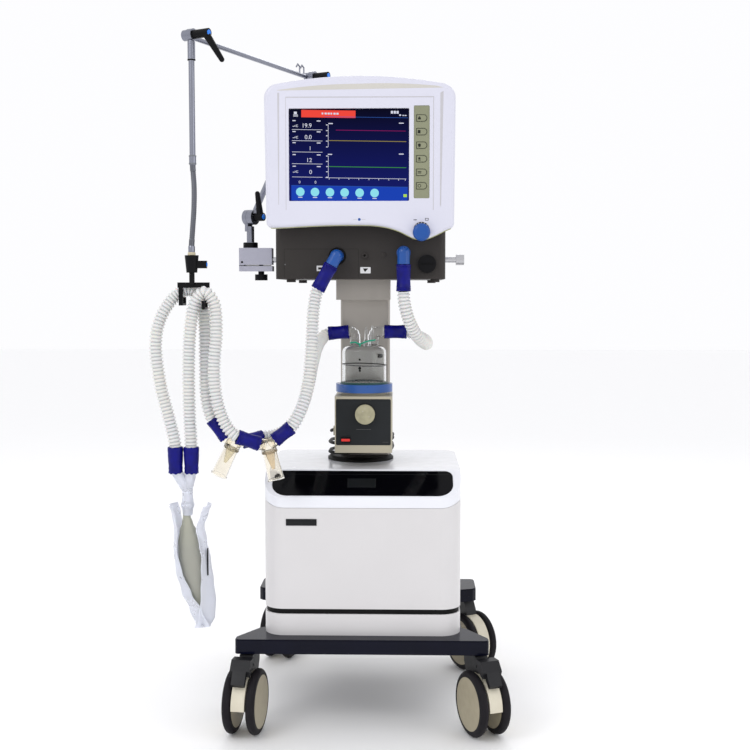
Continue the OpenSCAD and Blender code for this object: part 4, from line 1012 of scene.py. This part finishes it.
turned("oxygen_cap_grip", [(16.4, 0.5), (17.4, 1.0), (17.5, 6.4), (16.6, 7.6), (14.2, 8.1), (13.6, 7.4), (13.6, 0.5)],
       (124, CASE_FRONT, 900), FRONT, "black_rubber", ("oxygen_cap", "black_plastic"), 72, 30, closed=False)
block("cabinet_badge", (-146.4, -206.2, 398), (-87.2, -204.6, 411), "window_black", ("root", "black_gloss"), 0.5)


def on_slope(name, x0, x1, low, high, lift):
    """A thin plate on the cabinet's sloping panel, between two distances up the slope."""
    foot, up, out = mm(0, -203, 453), Vector((0, 0.795, 0.606)), Vector((0, -0.606, 0.795))
    bm = bmesh.new()
    bm.faces.new([bm.verts.new(foot + mm(x, 0, 0) + up * s / 1000 + out * 0.00005)
                  for x, s in rect(x0, low, x1, high)])
    thicken(bm, out * lift / 1000)
    finish_piece(name, bm, "window_black", ("root", "black_gloss"), 30)


on_slope("panel_window", -29.5, 26.2, 25.5, 49.5, 0.3)
on_slope("panel_band", -168, 168, 60, 61.2, 0.2)

inlay("heater_face", [rounded_outline(0, 589, 108.6, 91.6, 3)], -123.5, "face_black", HEATER, 0.3)
inlay("heater_marks", [rect(-14, 574.3, 15, 574.8), rect(38, 549, 50, 549.4)], -123.8, "case_mark", HEATER, 0.1)
inlay("dial_marks", [disc(-0.8, 611.5, 1.5, 12), disc(11.6, 601, 1.3, 12), rect(2.9, 615, 4.1, 622)], -133,
      "heater_beige", ("dial", "dial_beige"), 0.15)
inlay("rocker_light", [rounded_outline(-35, 553.5, 17, 5, 1)], -126, "rocker_red", ("rocker", "rocker_red"), 0.25)


def chamber():
    """The clear dome on its metal base, with its seal, level ring, strap and two ribbed elbows."""
    y, foot = -66, (0, -66, 656)
    dome = [(46.5, 1), (46.5, 6), (44.6, 8), (44.4, 70), (42.6, 75.5), (38.6, 79.6), (31.0, 83.0), (24, 84.2),
            (0.3, 84.2), (0.3, 81.8), (23, 81.8), (30.0, 80.8), (36.6, 77.6), (40.6, 73.8), (42.0, 69), (42.2, 9),
            (42.2, 1)]
    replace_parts(turned("chamber_dome", dome, foot, UP, "clear_plastic", CHAMBER, 72, 40), "water_chamber")
    turned("chamber_base_plate", [(0.3, 0.2), (45.5, 0.2), (45.5, 2), (41.8, 2.6), (41.8, 7), (0.3, 7)], foot, UP,
           "chamber_plate", CHAMBER, 64)
    turned("chamber_seal", [(44.8, 5), (47.6, 5), (48.0, 7), (47.2, 9.4), (44.9, 9.8)], foot, UP, "seal_green",
           CHAMBER, 64, closed=False)
    turned("chamber_level_ring", [(44.2, 42.2), (45.2, 42.5), (45.2, 43.9), (44.2, 44.2)], foot, UP, "groove_black",
           CHAMBER, 72, 40, lambda i, a: 0.006 * math.sin(a) + 0.001 * math.cos(a), closed=False)
    inlay("chamber_marks", [disc(-7.6, 712, 2.2, 12), disc(-7.6, 695, 3.0, 14), disc(-7.4, 690, 2.2, 12)], -110.3,
          "groove_black", CHAMBER, 0.4)
    block("chamber_float", (27, -82, 714), (37, -76, 722), "groove_black", CHAMBER, 2, 3)
    strap = smooth([mm(-27, -92, 744.6), mm(-17, -94, 746), mm(-8, -95, 742.6), mm(6, -95, 747.6),
                    mm(23, -92, 750.6)], 0.002)
    tube("chamber_strap", strap, 0.0016, 10, "clip_green", CHAMBER)
    block("chamber_strap_tail", (-9.4, -97, 736.5), (-5.8, -95, 744), "clip_green", CHAMBER, 0.8)
    for k, (x, top) in enumerate(((4.3, 777), (16.4, 779))):
        turned(f"chamber_spike_{k + 1}", [(5.0, 0), (5.0, 9), (3.4, 11), (2.6, top - 750), (1.6, top - 740),
                                          (0.3, top - 739.4)], (x, -80, 739.5), UP, "clear_plastic", CHAMBER, 28)
    for name, side, end in (("in", 1, 40), ("out", -1, -30)):
        path = smooth([mm(side * 18, y, 740), mm(side * 18, y, 751), mm(side * 19.5, y, 761), mm(side * 26, y, 765.6),
                       mm(end, y, 766)], 0.0011, Vector(UP), Vector((side, 0, 0)))
        ribs = [0.0100 + 0.0009 * (0.5 + 0.5 * math.cos(2 * math.pi * i / 4)) for i in range(len(path))]
        tube("chamber_elbow_" + name, path, ribs, 32, "clear_plastic", CHAMBER, 50)


chamber()


# ---------- hose arm ----------

DROP = (-310.09, -250.99)
HINGE = (0.8788, -0.4772, 0)


def gooseneck():
    """The flexible part: close rings over a core, plain ferrules and a pale end piece."""
    x, y = DROP
    route = [mm(x, y, 1080), mm(x + 2, y + 1, 1040), mm(x + 1, y + 2, 1000), mm(x - 2, y + 2, 960),
             mm(x - 4, y + 1, 930)]
    path = smooth(route, 0.0009, Vector((0, 0, -1)), Vector((0, 0, -1)))
    radii = [0.0053 if i < 14 or i > len(path) - 16 else (0.0052, 0.0049, 0.0044, 0.0049)[i % 4]
             for i in range(len(path))]
    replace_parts(tube("gooseneck_rings", path, radii, 20, "goose_steel", ARM, 50), "gooseneck")
    turned("gooseneck_ferrule", [(0.3, 0), (5.8, 0), (6.2, 1), (6.2, 15.5), (5.6, 17), (0.3, 17)],
           (x - 4, y + 1, 914.5), UP, "satin_steel", ARM, 32)
    turned("gooseneck_end", [(6.0, -5), (7.2, -5), (7.2, 2.2), (6.6, 3), (6.0, 3)], (x - 4, y + 1, 916.5), UP,
           "cream", ARM, 32, closed=False)


gooseneck()
for name, look, z, r in (("top", "groove_black", 1270, 7.0), ("low", "cast_metal", 1096, 6.5),
                         ("mid", "cast_metal", 1082, 6.5)):
    turned("drop_ring_" + name, [(r - 0.6, -1), (r + 0.5, -0.8), (r + 0.5, 0.8), (r - 0.6, 1)], (*DROP, z), UP,
           look, ARM, 36, closed=False)
for lever, point in (("lever_lower", (-197.9, -100.3, 994)), ("lever_middle", (-80.5, 88.6, 1303)),
                     ("lever_top", (-274.3, -270.4, 1315))):
    turned(lever + "_tip", [(0.3, -1.5), (5.2, -1.5), (5.2, 0.6), (4.4, 1.3), (0.3, 1.5)], point, HINGE, "tip_blue",
           (lever, "knob_blue"), 28)
turned("post_collar", [(13.9, 0.2), (14.5, 0.8), (14.5, 9.8), (13.9, 10.4)], (-226, -85, 933.4), UP, "black_plastic",
       ("arm_base", "black_plastic"), closed=False)
# Painted shade: a thin dark strip stands in for the shade inside the clamp's slit.
inlay("clamp_slit_shade", [rect(-246.5, 897.4, -182.5, 898.8)], -102, "groove_black", ("root", "black_trim"), 0.15)
turned("clamp_grub", [(0.3, -1), (2.2, -1), (2.2, 0.3), (1.2, 0.5), (0.3, 0.5)], (-241, -102, 905), FRONT,
       "groove_black", ("root", "black_trim"), 20)
turned("hanger_tip", [(0.3, -1.5), (4.2, -1.5), (4.2, 0.6), (3.4, 1.2), (0.3, 1.3)], (-286.1, -250, 897), (1, 0, 0),
       "tip_blue", ("drop_arm", "knob_blue"), 24)


# ---------- floor and light ----------

surface("studio_floor", (0.97, 0.97, 0.975), 0.6, mottle=0.003, grain=0.02)
bm = bmesh.new()
bmesh.ops.create_grid(bm, x_segments=1, y_segments=1, size=14)
floor_mesh = bpy.data.meshes.new("floor")
bm.to_mesh(floor_mesh)
bm.free()
floor_mesh.materials.append(LOOKS["studio_floor"])
floor = bpy.data.objects.new("floor", floor_mesh)
bpy.context.scene.collection.objects.link(floor)

world = bpy.data.worlds.new("studio")
world.use_nodes = True
world.node_tree.nodes["Background"].inputs["Color"].default_value = (0.985, 0.985, 1.0, 1)
world.node_tree.nodes["Background"].inputs["Strength"].default_value = 1.0
bpy.context.scene.world = world
bpy.context.scene.view_settings.view_transform = "Standard"


def softbox(name, at, size, power):
    data = bpy.data.lights.new(name, "AREA")
    data.shape = "RECTANGLE"
    data.size, data.size_y = size
    data.energy = power
    lamp = bpy.data.objects.new(name, data)
    lamp.location = at
    lamp.rotation_euler = (AIM - Vector(at)).to_track_quat("-Z", "Y").to_euler()
    bpy.context.scene.collection.objects.link(lamp)


AIM = Vector((0, 0, 0.7))
softbox("key_light", (-1.8, -2.2, 2.6), (1.2, 1.2), 20)
softbox("fill_light", (2.4, -1.6, 1.6), (1.2, 1.6), 8)
softbox("rim_light", (0.4, 2.4, 2.6), (2.2, 1.0), 14)
